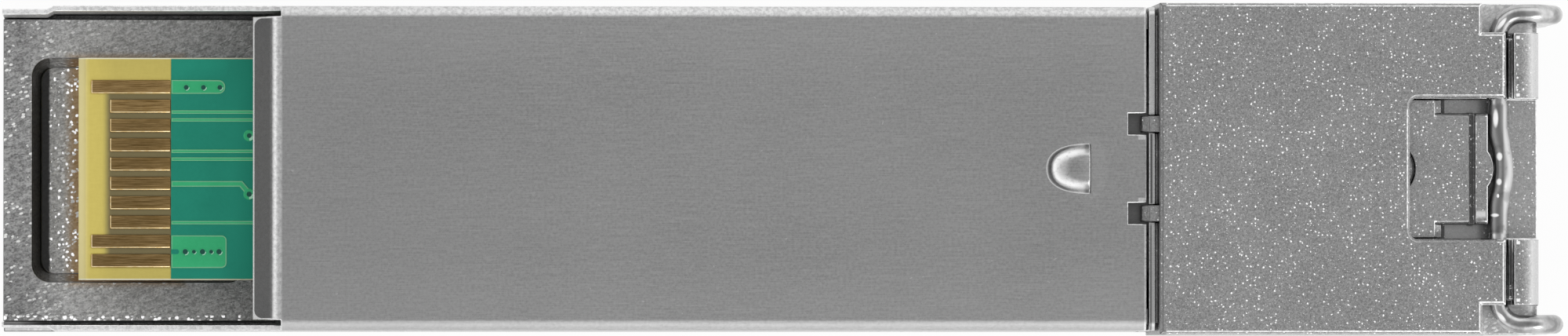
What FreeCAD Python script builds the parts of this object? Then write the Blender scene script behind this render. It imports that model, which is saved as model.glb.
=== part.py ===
"""Small pluggable network transceiver with a wire bail and two optical ports.

It lies on its label face with its underside up. X runs from the rear (board) end to the front
(bail) end, Y across, Z up out of the underside. Lengths are millimetres, and X positions are
counted from the rear end until the finished pieces are centred on the origin.
"""
import FreeCAD
import Part
import math
import os

V = FreeCAD.Vector
X_DIR = V(1, 0, 0)
Y_DIR = V(0, 1, 0)
Z_DIR = V(0, 0, 1)

# Overall form
LATCH_TO_REAR = 45.0
LATCH_TO_BOARD = 41.85
LATCH_TO_LIP = 34.65
LATCH_TO_COVER_FRONT = 2.36
BODY_WIDTH = 13.4
BODY_HEIGHT = 8.5
NOSE_STEP = 0.15
NOSE_LENGTH = 15.83
SEAM_SLIT = 0.11
SHIELD = 0.25
SHIELD_BASE = 1.6
SEAM_GROOVE = 0.15
SEAM_DEPTH = 0.35
FIT = 0.05
EDGE_BREAK = 0.12

# Folded sheet cover
SHEET = 0.22
SHEET_BEND = 0.42
COVER_FOOT = 0.85
LIP_BEND = 0.6
LIP_RUN = 1.17
LIP_SIDE_GAP = 0.43
LIP_CORNER = 0.4
JOG_LENGTH = 1.85
JOG_DEPTH = 0.14
BOSS_LENGTH = 1.8
BOSS_WIDTH = 2.08
BOSS_HEIGHT = 0.45
BOSS_TOP_LENGTH = 1.08
BOSS_TOP_WIDTH = 0.95
NOTCH_LENGTH = 0.76
NOTCH_ROOM = 0.11
SNAP_LENGTH = 2.6
SNAP_HEIGHT = 1.2
SNAP_BASE = 2.4
SNAP_PROUD = 0.2
SNAP_FROM_LATCH = (6.0, 27.0)

# Cast housing
LABEL_WALL = 0.8
LABEL_EDGE = 0.3
ROOF_LEVEL = 3.25
ROOF_LENGTH = 11.3
POCKET_START = 1.21
POCKET_WIDTH = 9.3
POCKET_DEPTH = 1.05
POCKET_DRAFT = 0.35
POCKET_CORNER = 0.75
SIDE_WALL = 0.65
LEDGE = 0.5
BULKHEAD = 2.8

# Optical ports
PORT_PITCH = 6.25
PORT_SIZE = 4.7
PORT_CEILING = 7.0
LATCH_SLOT_WIDTH = 3.5
LATCH_SLOT_DEPTH = 1.5
CATCH_DEPTH = 0.35
CATCH_START = 2.9
CATCH_LENGTH = 2.4
CATCH_WIDTH = 4.0

# Release slider
CHANNEL_FLOOR = 7.5
SLIDER_WIDTH = 5.7
SLIDER_LENGTH = 10.0
TONGUE_WIDTH = 4.6
TRAVEL = 0.5
TINE_SPACING = 3.7
TINE_WIDTH = 0.66
TINE_OVERLAP = 0.2
TINE_RAMP = 0.3
EJECTOR_RADIUS = 1.2
EJECTOR_DEPTH = 0.22
EJECTOR_BEHIND = 0.95
SHOULDER_STEP = 0.3
LIP_BAR = 0.52
LIP_GROOVE = 0.26
LIP_GROOVE_DEPTH = 0.3
FOLLOWER_WIDTH = 1.46
FOLLOWER_GAP = 0.06
SHOULDER_FROM_CUTOUT = 1.06

# Nose plate and front end
PLATE_THICK = 0.4
CUTOUT_WIDTH = 5.86
CUTOUT_CORNER = 0.35
CUTOUT_FROM_PIVOT = 3.72
TAB_FROM_PIVOT = 0.26
TAB_INSET = 1.21
CORNER_STEP_FROM_PIVOT = 0.72
KNUCKLE_FROM_PIVOT = 0.63
KNUCKLE_ROUND = 0.85
LEDGE_SETBACK = 0.07
CORNER_FLOOR_DROP = 0.14
CORNER_ROUND = 0.55
PEG_RADIUS = 0.55
PEG_LENGTH = 0.8
PEG_SPREAD = 9.4
PEG_END_GAP = 2.2

# Wire bail
WIRE = 0.8
WIRE_ROOM = 0.08
PIVOT_SETBACK = 1.72
PIVOT_LEVEL = 8.3
JOURNAL_PLAY = 0.04
CRANK_THROW = 0.25
CRANK_END = 1.8
CRANK_BEND = 2.0
ARM_INSET = 0.42
ELBOW_BEND = 0.98
FRONT_BEND = 1.0
HOOK_BEND = 0.75
BAIL_REACH = 2.405
HOOK_BACK = 1.6
FLOOR_ROOM = 0.1
BUTT_GAP = 0.15
REBATE_ROOM = 0.28
REBATE_HEIGHT = 1.4

# Circuit board
BOARD_THICK = 1.0
BOARD_DEPTH = 2.25
TONGUE_BOARD_WIDTH = 9.2
TONGUE_BOARD_LENGTH = 9.4
BOARD_SIDE_ROOM = 0.18
BOARD_LENGTH = 37.0
BOARD_BEVEL = 0.3
BOARD_CORNER = 0.6
PIN_NOTCH = 0.45
PIN_FROM_EDGE = 26.0
CONTACTS = 10
CONTACT_PITCH = 0.8
CONTACT_WIDTH = 0.55
CONTACT_THICK = 0.05
CONTACT_STAGGER = 0.2
CONTACT_LONG = 3.28
CONTACT_SHORT = 2.5
CONTACT_SETBACK = 0.52
MASK_THICK = 0.03
MASK_EDGE = 0.05
MASK_START = 0.03

# Components on the board: length, width and height, then places from the contact edge and across
COMPONENTS = {
    "laser_driver_chip": ((4.0, 4.0, 0.9), [(30.5, 2.9)]),
    "limiting_amplifier_chip": ((3.0, 3.0, 0.9), [(30.5, -3.1)]),
    "controller_chip": ((5.0, 5.0, 0.85), [(21.0, 0.0)]),
    "memory_chip": ((3.0, 4.4, 1.0), [(13.5, 2.4)]),
    "filter_inductors": ((2.0, 1.6, 1.2), [(13.0, -1.6), (13.0, -3.8)]),
    "capacitors": ((1.0, 0.5, 0.5),
                   [(17.0 + 1.8 * step, side * 4.1) for step in range(4) for side in (-1, 1)]),
    "resistors": ((1.0, 0.5, 0.32), [(26.0, -3.0 + 1.5 * step) for step in range(5)]),
}

# Optical subassemblies
BARREL_RADIUS = 1.475
BARREL_TIP_DEPTH = 6.8
FERRULE_RADIUS = 0.63
SLEEVE_WALL = 0.2
SLEEVE_LENGTH = 3.0
SLEEVE_SLIT = 0.25
MOUTH_RADIUS = 0.74
MOUTH_LENGTH = 0.5
STUB_RADIUS = 1.0
STUB_LENGTH = 3.0
FLANGE_RADIUS = 2.3
FLANGE_THICK = 0.6
COLLAR_RADIUS = 2.0
COLLAR_WALL = 0.3
COLLAR_LENGTH = 3.1
COLLAR_FLOOR = 0.6
CAN_HEADER_RADIUS = 2.35
CAN_HEADER = 1.1
CAN_CAP = 2.2
FLEX_THICK = 0.12
FLEX_WIDTH = 3.2
FLEX_BEND = 0.8
FLEX_OVERLAP = 2.4
FLEX_TAIL = 2.9
RETAINER_THICK = 0.7
RETAINER_LEVEL = 7.2
RETAINER_BASE = 1.2
RETAINER_KEY = 0.25

# Positions along the module, from the rear end
LATCH_X = LATCH_TO_REAR
BOARD_X = LATCH_X - LATCH_TO_BOARD
LIP_X = LATCH_X - LATCH_TO_LIP
COVER_FRONT_X = LATCH_X + LATCH_TO_COVER_FRONT
SHIELD_X = COVER_FRONT_X + SEAM_SLIT
SEAT_X = SHIELD_X + SHIELD
NOSE_X = SEAT_X + SEAM_GROOVE
FRONT_X = NOSE_X + NOSE_LENGTH
PIVOT_X = FRONT_X - PIVOT_SETBACK
PANEL_X = LIP_X + LIP_RUN
WALL_X = PANEL_X + SHEET
OVERALL_LENGTH = PIVOT_X + BAIL_REACH + WIRE / 2

# Levels above the label face
COVER_INNER = BODY_HEIGHT - SHEET
BOARD_TOP = BODY_HEIGHT - BOARD_DEPTH
BOARD_BASE = BOARD_TOP - BOARD_THICK
PLATE_LEVEL = PIVOT_LEVEL + WIRE / 2 + WIRE_ROOM
NOSE_HEIGHT = PLATE_LEVEL + PLATE_THICK
WIRE_FLOOR = PIVOT_LEVEL - WIRE / 2 - JOURNAL_PLAY
SLIDER_BASE = CHANNEL_FLOOR + FIT
SLIDER_TOP = PLATE_LEVEL - FIT
PORT_FLOOR = PORT_CEILING - PORT_SIZE
PORT_AXIS = PORT_CEILING - PORT_SIZE / 2

# Widths across the module, and half widths
NOSE_WIDTH = BODY_WIDTH + 2 * NOSE_STEP
ARM_SPREAD = NOSE_WIDTH - 2 * ARM_INSET
BODY_Y = BODY_WIDTH / 2
NOSE_Y = NOSE_WIDTH / 2
TAB_HALF_SPAN = NOSE_Y - TAB_INSET
INNER_SHEET_Y = BODY_Y - SHEET
HOUSING_Y = INNER_SHEET_Y - FIT
BOARD_WIDTH = 2 * (HOUSING_Y - SIDE_WALL - BOARD_SIDE_ROOM)
PORT_Y = PORT_PITCH / 2

# Slider and mechanism positions
CHANNEL_Y = SLIDER_WIDTH / 2 + FIT
LIP_FACE_X = PIVOT_X - WIRE / 2 - FOLLOWER_GAP
FOLLOWER_X = LIP_FACE_X + CRANK_THROW
LIP_BACK_X = LIP_FACE_X - LIP_BAR
GROOVE_BACK_X = LIP_BACK_X - LIP_GROOVE
CUTOUT_X = PIVOT_X - CUTOUT_FROM_PIVOT
SHOULDER_X = CUTOUT_X + SHOULDER_FROM_CUTOUT
SLIDER_REAR_X = SHOULDER_X - SLIDER_LENGTH
CHANNEL_REAR_X = SLIDER_REAR_X - TRAVEL - 2 * FIT
TINE_TIP_X = COVER_FRONT_X - TINE_OVERLAP
NOTCH_WIDTH = TINE_WIDTH + 2 * NOTCH_ROOM
TINE_SLOT = TINE_WIDTH + 2 * FIT
KNUCKLE_X = PIVOT_X + KNUCKLE_FROM_PIVOT
CORNER_X = PIVOT_X - CORNER_STEP_FROM_PIVOT
CORNER_FLOOR = WIRE_FLOOR - CORNER_FLOOR_DROP
PEG_PLACES = ((NOSE_X + PEG_END_GAP, -PEG_SPREAD / 2),
              (CUTOUT_X - PEG_END_GAP + PEG_RADIUS, PEG_SPREAD / 2))

# Optical subassembly positions
TIP_X = FRONT_X - BARREL_TIP_DEPTH
SLEEVE_FRONT_X = TIP_X - MOUTH_LENGTH
STUB_FACE_X = SLEEVE_FRONT_X - SLEEVE_LENGTH
STUB_REAR_X = STUB_FACE_X - STUB_LENGTH
FLANGE_FRONT_X = SHIELD_X
FLANGE_REAR_X = FLANGE_FRONT_X - FLANGE_THICK
COLLAR_REAR_X = FLANGE_REAR_X - COLLAR_LENGTH
COLLAR_FLOOR_X = FLANGE_REAR_X - COLLAR_FLOOR
CAP_RADIUS = COLLAR_RADIUS - COLLAR_WALL - FIT
CAP_TIP_X = COLLAR_REAR_X + CAN_CAP
HEADER_REAR_X = COLLAR_REAR_X - CAN_HEADER
FLEX_X = HEADER_REAR_X - FLEX_THICK
BOARD_END_X = BOARD_X + BOARD_LENGTH
RETAINER_X = FLANGE_REAR_X - RETAINER_THICK
PORT_REAR_X = NOSE_X + BULKHEAD


def block(x0, x1, y0, y1, z0, z1):
    """A box between two corners."""
    return Part.makeBox(x1 - x0, y1 - y0, z1 - z0, V(x0, y0, z0))


def centred_block(x0, x1, width, z0, z1):
    """A box centred across the module."""
    return block(x0, x1, -width / 2, width / 2, z0, z1)


def rod(start, end, radius):
    """A round bar from start to end."""
    along = end - start
    return Part.makeCylinder(radius, along.Length, start, along)


def prism(points, direction):
    """A closed polygon pushed along a direction."""
    corners = [V(*point) for point in points]
    return Part.Face(Part.makePolygon(corners + corners[:1])).extrude(direction)


def rounded_block(x0, x1, width, z0, z1, radius):
    """A box centred across the module with its four upright edges rounded."""
    solid = centred_block(x0, x1, width, z0, z1)
    return solid.makeFillet(radius, upright_edges(solid))


def upright_edges(solid):
    """The straight edges of a solid that run along Z."""
    return [edge for edge in solid.Edges if abs(edge.tangentAt(edge.FirstParameter).z) > 0.999]


def edges_at_level(solid, level):
    """The edges of a solid that lie flat at one height."""
    return [edge for edge in solid.Edges
            if abs(edge.BoundBox.ZMin - level) < 1e-4 and abs(edge.BoundBox.ZMax - level) < 1e-4]


def both_sides(solid):
    """A solid and its mirror image across the module."""
    return [solid, solid.mirror(V(0, 0, 0), Y_DIR)]


def section_prism(width, height, corner, x0, x1):
    """A bar whose upper long edges are rounded, from the label face to a height."""
    solid = centred_block(x0, x1, width, 0, height)
    return solid.makeFillet(corner, top_long_edges(solid, height))


def top_long_edges(solid, level):
    """The edges along the module at one height."""
    return [edge for edge in edges_at_level(solid, level)
            if abs(edge.tangentAt(edge.FirstParameter).x) > 0.999]


def turned(profile, y, level):
    """A solid of revolution about an axis along X, from (x, radius) corners."""
    corners = [V(x, y, level + radius) for x, radius in profile]
    face = Part.Face(Part.makePolygon(corners + corners[:1]))
    return face.revolve(V(0, y, level), X_DIR, 360)


def boss_section(length, width, shift, level):
    """A half ellipse closed by the flat latch shoulder."""
    half = width / 2
    ellipse = Part.Ellipse(V(LATCH_X - shift, 0, level), length, half)
    curve = Part.Arc(ellipse, math.pi / 2, 3 * math.pi / 2).toShape()
    shoulder = Part.makeLine(curve.Vertexes[1].Point, curve.Vertexes[0].Point)
    return Part.Wire([curve, shoulder])


def boss_form(sizes, inset):
    """A drawn boss through D-shaped sections, each given as length, width and level."""
    sections = [boss_section(length - 2 * inset, width - 2 * inset, inset, level - inset)
                for length, width, level in sizes]
    return Part.makeLoft(sections, True, True)


def latch_boss():
    """The drawn latch boss and its hollow, one sheet thickness inside it."""
    crown = BODY_HEIGHT + BOSS_HEIGHT
    slope_length = (BOSS_LENGTH + BOSS_TOP_LENGTH) / 2
    slope_width = (BOSS_WIDTH + BOSS_TOP_WIDTH) / 2
    base = (BOSS_LENGTH, BOSS_WIDTH, COVER_INNER)
    flank = (BOSS_LENGTH * 0.93, BOSS_WIDTH * 0.93, crown - BOSS_HEIGHT * 0.55)
    slope = (slope_length, slope_width, crown - BOSS_HEIGHT * 0.16)
    top = (BOSS_TOP_LENGTH, BOSS_TOP_WIDTH, crown)
    return boss_form((base, flank, slope, top), 0), boss_form((base, top), SHEET)


def rear_lip():
    """The flap folded inward at 45 degrees at the panel's rear edge."""
    centre = V(PANEL_X, 0, BODY_HEIGHT - LIP_BEND)
    slope = V(-1, 0, 1).normalize()
    mid = V(-math.sin(math.pi / 8), 0, math.cos(math.pi / 8))
    bend_drop = LIP_BEND * math.sin(math.pi / 4)
    run = (LIP_RUN - bend_drop) * math.sqrt(2)
    along = V(-1, 0, -1).normalize() * run
    inner = LIP_BEND - SHEET
    outside = Part.Arc(centre + Z_DIR * LIP_BEND, centre + mid * LIP_BEND, centre + slope * LIP_BEND)
    inside = Part.Arc(centre + slope * inner, centre + mid * inner, centre + Z_DIR * inner)
    tip_outer = centre + slope * LIP_BEND + along
    tip_inner = centre + slope * inner + along
    edges = [outside.toShape(),
             Part.makeLine(centre + slope * LIP_BEND, tip_outer),
             Part.makeLine(tip_outer, tip_inner),
             Part.makeLine(tip_inner, centre + slope * inner),
             inside.toShape(),
             Part.makeLine(centre + Z_DIR * inner, centre + Z_DIR * LIP_BEND)]
    width = BODY_WIDTH - 2 * LIP_SIDE_GAP
    flap = Part.Face(Part.Wire(edges)).extrude(Y_DIR * width)
    flap.translate(V(0, -width / 2, 0))
    outline = rounded_block(LIP_X - 2 * SHEET, PANEL_X + LIP_RUN, width, 0, BODY_HEIGHT, LIP_CORNER)
    return flap.common(outline)


def skirt():
    """One side wall behind the panel, with its inward jog at the rear end."""
    jog_end = JOG_LENGTH + 2 * JOG_DEPTH
    outer = BODY_Y
    inner = BODY_Y - SHEET
    plan = ((PANEL_X, outer), (jog_end, outer), (JOG_LENGTH, outer - JOG_DEPTH), (0, outer - JOG_DEPTH),
            (0, inner - JOG_DEPTH), (JOG_LENGTH, inner - JOG_DEPTH), (jog_end, inner), (PANEL_X, inner))
    return prism([(x, y, COVER_FOOT) for x, y in plan], Z_DIR * (BODY_HEIGHT - SHEET_BEND - COVER_FOOT))


def sheet_cover():
    """The folded cover: panel, side walls, rear lip, latch boss, tine notches and snap windows."""
    outer = section_prism(BODY_WIDTH, BODY_HEIGHT, SHEET_BEND, PANEL_X, COVER_FRONT_X)
    hollow = section_prism(2 * INNER_SHEET_Y, COVER_INNER, SHEET_BEND - SHEET, PANEL_X - 1, COVER_FRONT_X + 1)
    below = centred_block(PANEL_X - 1, COVER_FRONT_X + 1, BODY_WIDTH + 2, -1, COVER_FOOT)
    channel = outer.cut([hollow, below])
    boss, boss_hollow = latch_boss()
    channel = channel.fuse([rear_lip(), boss] + both_sides(skirt()))
    holes = [boss_hollow]
    for side in (-1, 1):
        centre = side * TINE_SPACING / 2
        holes.append(block(COVER_FRONT_X - NOTCH_LENGTH, COVER_FRONT_X + 1,
                           centre - NOTCH_WIDTH / 2, centre + NOTCH_WIDTH / 2,
                           COVER_INNER - 1, BODY_HEIGHT + 1))
    for distance in SNAP_FROM_LATCH:
        holes.append(snap_block(distance, BODY_WIDTH + 1, FIT))
    return channel.cut(holes).removeSplitter()


def snap_block(distance, width, room):
    """A bar across the module at one pair of snap windows."""
    front = LATCH_X - distance + room
    return centred_block(front - SNAP_LENGTH - 2 * room, front, width,
                         SNAP_BASE - room, SNAP_BASE + SNAP_HEIGHT + room)


def snap_wedge(distance):
    """The cast wedge that snaps into one window of the cover."""
    front = LATCH_X - distance
    profile = ((front, HOUSING_Y - FIT, SNAP_BASE), (front, HOUSING_Y + FIT + SNAP_PROUD, SNAP_BASE),
               (front, HOUSING_Y + FIT, SNAP_BASE + SNAP_HEIGHT),
               (front, HOUSING_Y - FIT, SNAP_BASE + SNAP_HEIGHT))
    return prism(profile, X_DIR * -SNAP_LENGTH)


def roof_pocket():
    """The drafted, round cornered pocket in the rear roof, below the board's contacts."""
    top = pocket_outline(0, ROOF_LEVEL)
    floor = pocket_outline(POCKET_DRAFT, ROOF_LEVEL - POCKET_DEPTH)
    return Part.makeLoft([floor, top], True, True)


def pocket_outline(inset, level):
    """A rounded rectangle that runs forward to the end of the rear roof."""
    half = POCKET_WIDTH / 2 - inset
    rear = POCKET_START + inset
    front = ROOF_LENGTH - POCKET_START - inset
    plan = centred_block(rear, front, 2 * half, level, level + 1)
    solid = plan.makeFillet(POCKET_CORNER - inset / 2, upright_edges(plan))
    return Part.Wire(Part.__sortEdges__(edges_at_level(solid, level)))


def body_tray():
    """The label wall, rear roof, side walls and board ledges behind the nose."""
    label = centred_block(0, NOSE_X, BODY_WIDTH, 0, LABEL_WALL)
    label = label.makeChamfer(LABEL_EDGE, top_long_edges(label, 0))
    roof_width = 2 * (INNER_SHEET_Y - JOG_DEPTH - FIT)
    roof = centred_block(0, ROOF_LENGTH, roof_width, LABEL_WALL, ROOF_LEVEL)
    pieces = [roof.cut(roof_pocket())]
    wall_top = COVER_INNER - FIT
    wall = block(WALL_X, SEAT_X, HOUSING_Y - SIDE_WALL, HOUSING_Y, LABEL_WALL, wall_top)
    bend_edge = [edge for edge in top_long_edges(wall, wall_top) if edge.BoundBox.YMin > HOUSING_Y - 1e-4]
    wall = wall.makeChamfer(SHEET_BEND - SHEET, bend_edge)
    ledge = block(WALL_X, BOARD_END_X, HOUSING_Y - SIDE_WALL - LEDGE, HOUSING_Y - SIDE_WALL / 2,
                  LABEL_WALL, BOARD_BASE)
    pin_x = BOARD_X + PIN_FROM_EDGE
    pin_y = BOARD_WIDTH / 2
    pin = rod(V(pin_x, pin_y, BOARD_BASE), V(pin_x, pin_y, BOARD_TOP + FIT), PIN_NOTCH - FIT)
    for piece in (wall, ledge, pin):
        pieces.extend(both_sides(piece))
    for distance in SNAP_FROM_LATCH:
        pieces.extend(both_sides(snap_wedge(distance)))
    return label.fuse(pieces)


def nose_block():
    """The solid nose with its seat for the shield plate."""
    seat = centred_block(SHIELD_X, NOSE_X, 2 * (BODY_Y - SEAM_DEPTH), 0, BODY_HEIGHT - SEAM_DEPTH)
    block_form = centred_block(NOSE_X, FRONT_X, NOSE_WIDTH, 0, PLATE_LEVEL)
    corners = [edge for edge in upright_edges(block_form) if edge.BoundBox.XMin > NOSE_X + 1]
    block_form = block_form.makeFillet(LABEL_EDGE, corners)
    block_form = block_form.makeChamfer(LABEL_EDGE, edges_at_level(block_form, 0))
    return block_form.fuse(seat)


def port_cuts(y):
    """One optical port: plug cavity, latch slot, latch catch and the hole for the barrel."""
    reach = FRONT_X + 1
    half = PORT_SIZE / 2
    cavity = block(PORT_REAR_X, reach, y - half, y + half, PORT_FLOOR, PORT_CEILING)
    slot_half = LATCH_SLOT_WIDTH / 2
    slot = block(PORT_REAR_X, reach, y - slot_half, y + slot_half,
                 PORT_FLOOR - LATCH_SLOT_DEPTH, PORT_FLOOR + FIT)
    catch_front = FRONT_X - CATCH_START
    catch_half = CATCH_WIDTH / 2
    catch = block(catch_front - CATCH_LENGTH, catch_front, y - catch_half, y + catch_half,
                  PORT_FLOOR - LATCH_SLOT_DEPTH - CATCH_DEPTH + LABEL_WALL / 4, PORT_FLOOR - FIT)
    hole = rod(V(SHIELD_X - 1, y, PORT_AXIS), V(PORT_REAR_X + 1, y, PORT_AXIS), BARREL_RADIUS + FIT)
    return [cavity, slot, catch, hole]


def slider_channel():
    """The channel that guides the slider, with a slot for each tine through the rear wall."""
    cuts = [centred_block(CHANNEL_REAR_X, FOLLOWER_X + 2 * FIT, 2 * CHANNEL_Y, CHANNEL_FLOOR, NOSE_HEIGHT),
            centred_block(LIP_FACE_X, FRONT_X + 1, 2 * CHANNEL_Y, WIRE_FLOOR, NOSE_HEIGHT)]
    half = TINE_SLOT / 2
    for side in (-1, 1):
        centre = side * TINE_SPACING / 2
        cuts.append(block(SHIELD_X - 1, CHANNEL_REAR_X + FIT, centre - half, centre + half,
                          CHANNEL_FLOOR, NOSE_HEIGHT))
    return cuts


def knuckle_cut():
    """What is taken from the front end to leave two rounded knuckles beside the ledge."""
    centre = V(FRONT_X - KNUCKLE_ROUND, 0, PLATE_LEVEL - KNUCKLE_ROUND)
    mid = KNUCKLE_ROUND / math.sqrt(2)
    arc = Part.Arc(centre + Z_DIR * KNUCKLE_ROUND, centre + V(mid, 0, mid), centre + X_DIR * KNUCKLE_ROUND)
    top = centre + Z_DIR * KNUCKLE_ROUND
    front = centre + X_DIR * KNUCKLE_ROUND
    corner = V(front.x, 0, top.z)
    outline = Part.Wire([arc.toShape(), Part.makeLine(front, corner), Part.makeLine(corner, top)])
    cut = Part.Face(outline).extrude(Y_DIR * (NOSE_WIDTH + 2))
    cut.translate(V(0, -NOSE_Y - 1, 0))
    return cut


def corner_cut():
    """The open corner around one elbow of the bail, with a rounded floor edge."""
    floor = CORNER_FLOOR
    arc_centre = V(FRONT_X - CORNER_ROUND, TAB_HALF_SPAN, floor - CORNER_ROUND)
    mid = CORNER_ROUND / math.sqrt(2)
    top = arc_centre + Z_DIR * CORNER_ROUND
    front = arc_centre + X_DIR * CORNER_ROUND
    arc = Part.Arc(top, arc_centre + V(mid, 0, mid), front)
    high = NOSE_HEIGHT + 1
    outer = V(FRONT_X + 1, TAB_HALF_SPAN, front.z)
    rear = V(CORNER_X, TAB_HALF_SPAN, floor)
    corners = [front, outer, V(outer.x, outer.y, high), V(rear.x, rear.y, high), rear, top]
    edges = [arc.toShape()] + [Part.makeLine(a, b) for a, b in zip(corners, corners[1:])]
    cut = Part.Face(Part.Wire(edges)).extrude(Y_DIR * (NOSE_Y - TAB_HALF_SPAN + 1))
    return cut


def bearing_cuts():
    """The trench over the journals, the half round cradle below them and room for each elbow."""
    trench = block(CORNER_X, KNUCKLE_X, -NOSE_Y - 1, NOSE_Y + 1, PIVOT_LEVEL, NOSE_HEIGHT)
    cradle = rod(V(PIVOT_X, -NOSE_Y - 1, PIVOT_LEVEL), V(PIVOT_X, NOSE_Y + 1, PIVOT_LEVEL),
                 WIRE / 2 + JOURNAL_PLAY)
    elbow_start = ARM_SPREAD / 2 - ELBOW_BEND - FIT
    elbow_room = block(CORNER_X, KNUCKLE_X, elbow_start, TAB_HALF_SPAN + FIT, CORNER_FLOOR, NOSE_HEIGHT)
    return [trench, cradle] + both_sides(elbow_room)


def main_housing():
    """The cast housing: body tray and nose with ports, slider channel and bail seats."""
    rebate_x = PIVOT_X + BAIL_REACH - HOOK_BACK - WIRE / 2 - REBATE_ROOM
    cuts = slider_channel() + bearing_cuts() + both_sides(corner_cut()) + [knuckle_cut()]
    for side in (-1, 1):
        cuts.extend(port_cuts(side * PORT_Y))
    cuts.append(centred_block(rebate_x, FRONT_X + 1, NOSE_WIDTH + 2, -1, REBATE_HEIGHT))
    cuts.append(centred_block(FRONT_X - LEDGE_SETBACK, FRONT_X + 1, 2 * CHANNEL_Y,
                              PORT_CEILING + FIT, NOSE_HEIGHT))
    cuts.append(shield_plate_form(FIT / 2))
    key_x = RETAINER_X - FIT / 2
    cuts.append(centred_block(key_x, key_x + RETAINER_THICK + FIT, retainer_width() + FIT,
                              RETAINER_BASE - FIT / 2, COVER_INNER))
    for x, y in PEG_PLACES:
        top = V(x, y, PLATE_LEVEL)
        cuts.append(rod(top - Z_DIR * (PEG_LENGTH + 2 * FIT), top, PEG_RADIUS + FIT / 2))
    return body_tray().fuse(nose_block()).cut(cuts).removeSplitter()


def shield_plate_form(room):
    """The outline of the shield plate, flush with the cover, or the slot that it drops into."""
    plate = section_prism(BODY_WIDTH + 2 * room, BODY_HEIGHT + room, SHEET_BEND,
                          SHIELD_X - room, SEAT_X + room)
    return plate.cut(centred_block(SHIELD_X - 1, SEAT_X + 1, BODY_WIDTH + 2, -1, SHIELD_BASE - room))


def emi_shield_plate():
    """The conductive plate between cover and nose, open for barrels and tines."""
    plate = shield_plate_form(0)
    holes = []
    half = TINE_SLOT / 2
    for side in (-1, 1):
        y = side * PORT_Y
        holes.append(rod(V(SHIELD_X - 1, y, PORT_AXIS), V(SEAT_X + 1, y, PORT_AXIS), BARREL_RADIUS + FIT))
        centre = side * TINE_SPACING / 2
        holes.append(block(SHIELD_X - 1, SEAT_X + 1, centre - half, centre + half,
                           CHANNEL_FLOOR, NOSE_HEIGHT))
    return plate.cut(holes)


def nose_plate():
    """The plate over the slider, with its cut-out, bail tabs and locating pegs."""
    rear = centred_block(NOSE_X, CORNER_X, NOSE_WIDTH, PLATE_LEVEL, NOSE_HEIGHT)
    tabs = centred_block(CORNER_X - FIT, PIVOT_X + TAB_FROM_PIVOT, 2 * TAB_HALF_SPAN,
                         PLATE_LEVEL, NOSE_HEIGHT)
    cutout = rounded_block(CUTOUT_X, FRONT_X + 1, CUTOUT_WIDTH,
                           PLATE_LEVEL - 1, NOSE_HEIGHT + 1, CUTOUT_CORNER)
    plate = rear.fuse(tabs).removeSplitter().cut(cutout)
    plate = plate.makeChamfer(EDGE_BREAK, edges_at_level(plate, NOSE_HEIGHT))
    pegs = []
    for x, y in PEG_PLACES:
        top = V(x, y, PLATE_LEVEL + FIT)
        pegs.append(rod(top - Z_DIR * (PEG_LENGTH + FIT), top, PEG_RADIUS))
    return plate.fuse(pegs).removeSplitter()


def tine(side):
    """One release tine with its ramped tip."""
    centre = side * TINE_SPACING / 2
    root = SLIDER_REAR_X + FIT
    profile = ((TINE_TIP_X, SLIDER_BASE), (root, SLIDER_BASE), (root, SLIDER_TOP),
               (TINE_TIP_X + TINE_RAMP, SLIDER_TOP), (TINE_TIP_X, SLIDER_TOP - TINE_RAMP))
    start = centre - TINE_WIDTH / 2
    return prism([(x, start, z) for x, z in profile], Y_DIR * TINE_WIDTH)


def follower():
    """The rounded bump on the slider's lip that the crank pushes."""
    half = FOLLOWER_WIDTH / 2
    level = SLIDER_BASE
    arc = Part.Arc(V(LIP_FACE_X, -half, level), V(FOLLOWER_X, 0, level), V(LIP_FACE_X, half, level)).toShape()
    corners = [V(LIP_FACE_X, half, level), V(LIP_BACK_X, half, level),
               V(LIP_BACK_X, -half, level), V(LIP_FACE_X, -half, level)]
    edges = [arc] + [Part.makeLine(a, b) for a, b in zip(corners, corners[1:])]
    return Part.Face(Part.Wire(edges)).extrude(Z_DIR * (SLIDER_TOP - SLIDER_BASE))


def release_slider():
    """The slider: guided body, tongue, grooved lip with follower, and two tines."""
    body = centred_block(SLIDER_REAR_X, SHOULDER_X, SLIDER_WIDTH, SLIDER_BASE, SLIDER_TOP)
    step = centred_block(SHOULDER_X - FIT, SHOULDER_X + SHOULDER_STEP, SLIDER_WIDTH,
                         SLIDER_BASE, SLIDER_TOP - SHOULDER_STEP)
    tongue = centred_block(SHOULDER_X - FIT, LIP_FACE_X, TONGUE_WIDTH, SLIDER_BASE, SLIDER_TOP)
    tongue = tongue.makeChamfer(EDGE_BREAK, top_long_edges(tongue, SLIDER_TOP))
    groove = centred_block(GROOVE_BACK_X, LIP_BACK_X, SLIDER_WIDTH,
                           SLIDER_TOP - LIP_GROOVE_DEPTH, NOSE_HEIGHT)
    mark_x = CUTOUT_X - EJECTOR_BEHIND
    mark = rod(V(mark_x, 0, SLIDER_TOP - EJECTOR_DEPTH), V(mark_x, 0, NOSE_HEIGHT), EJECTOR_RADIUS)
    solid = body.fuse([step, tongue, follower(), tine(-1), tine(1)])
    return solid.cut([groove, mark]).removeSplitter()


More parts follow.
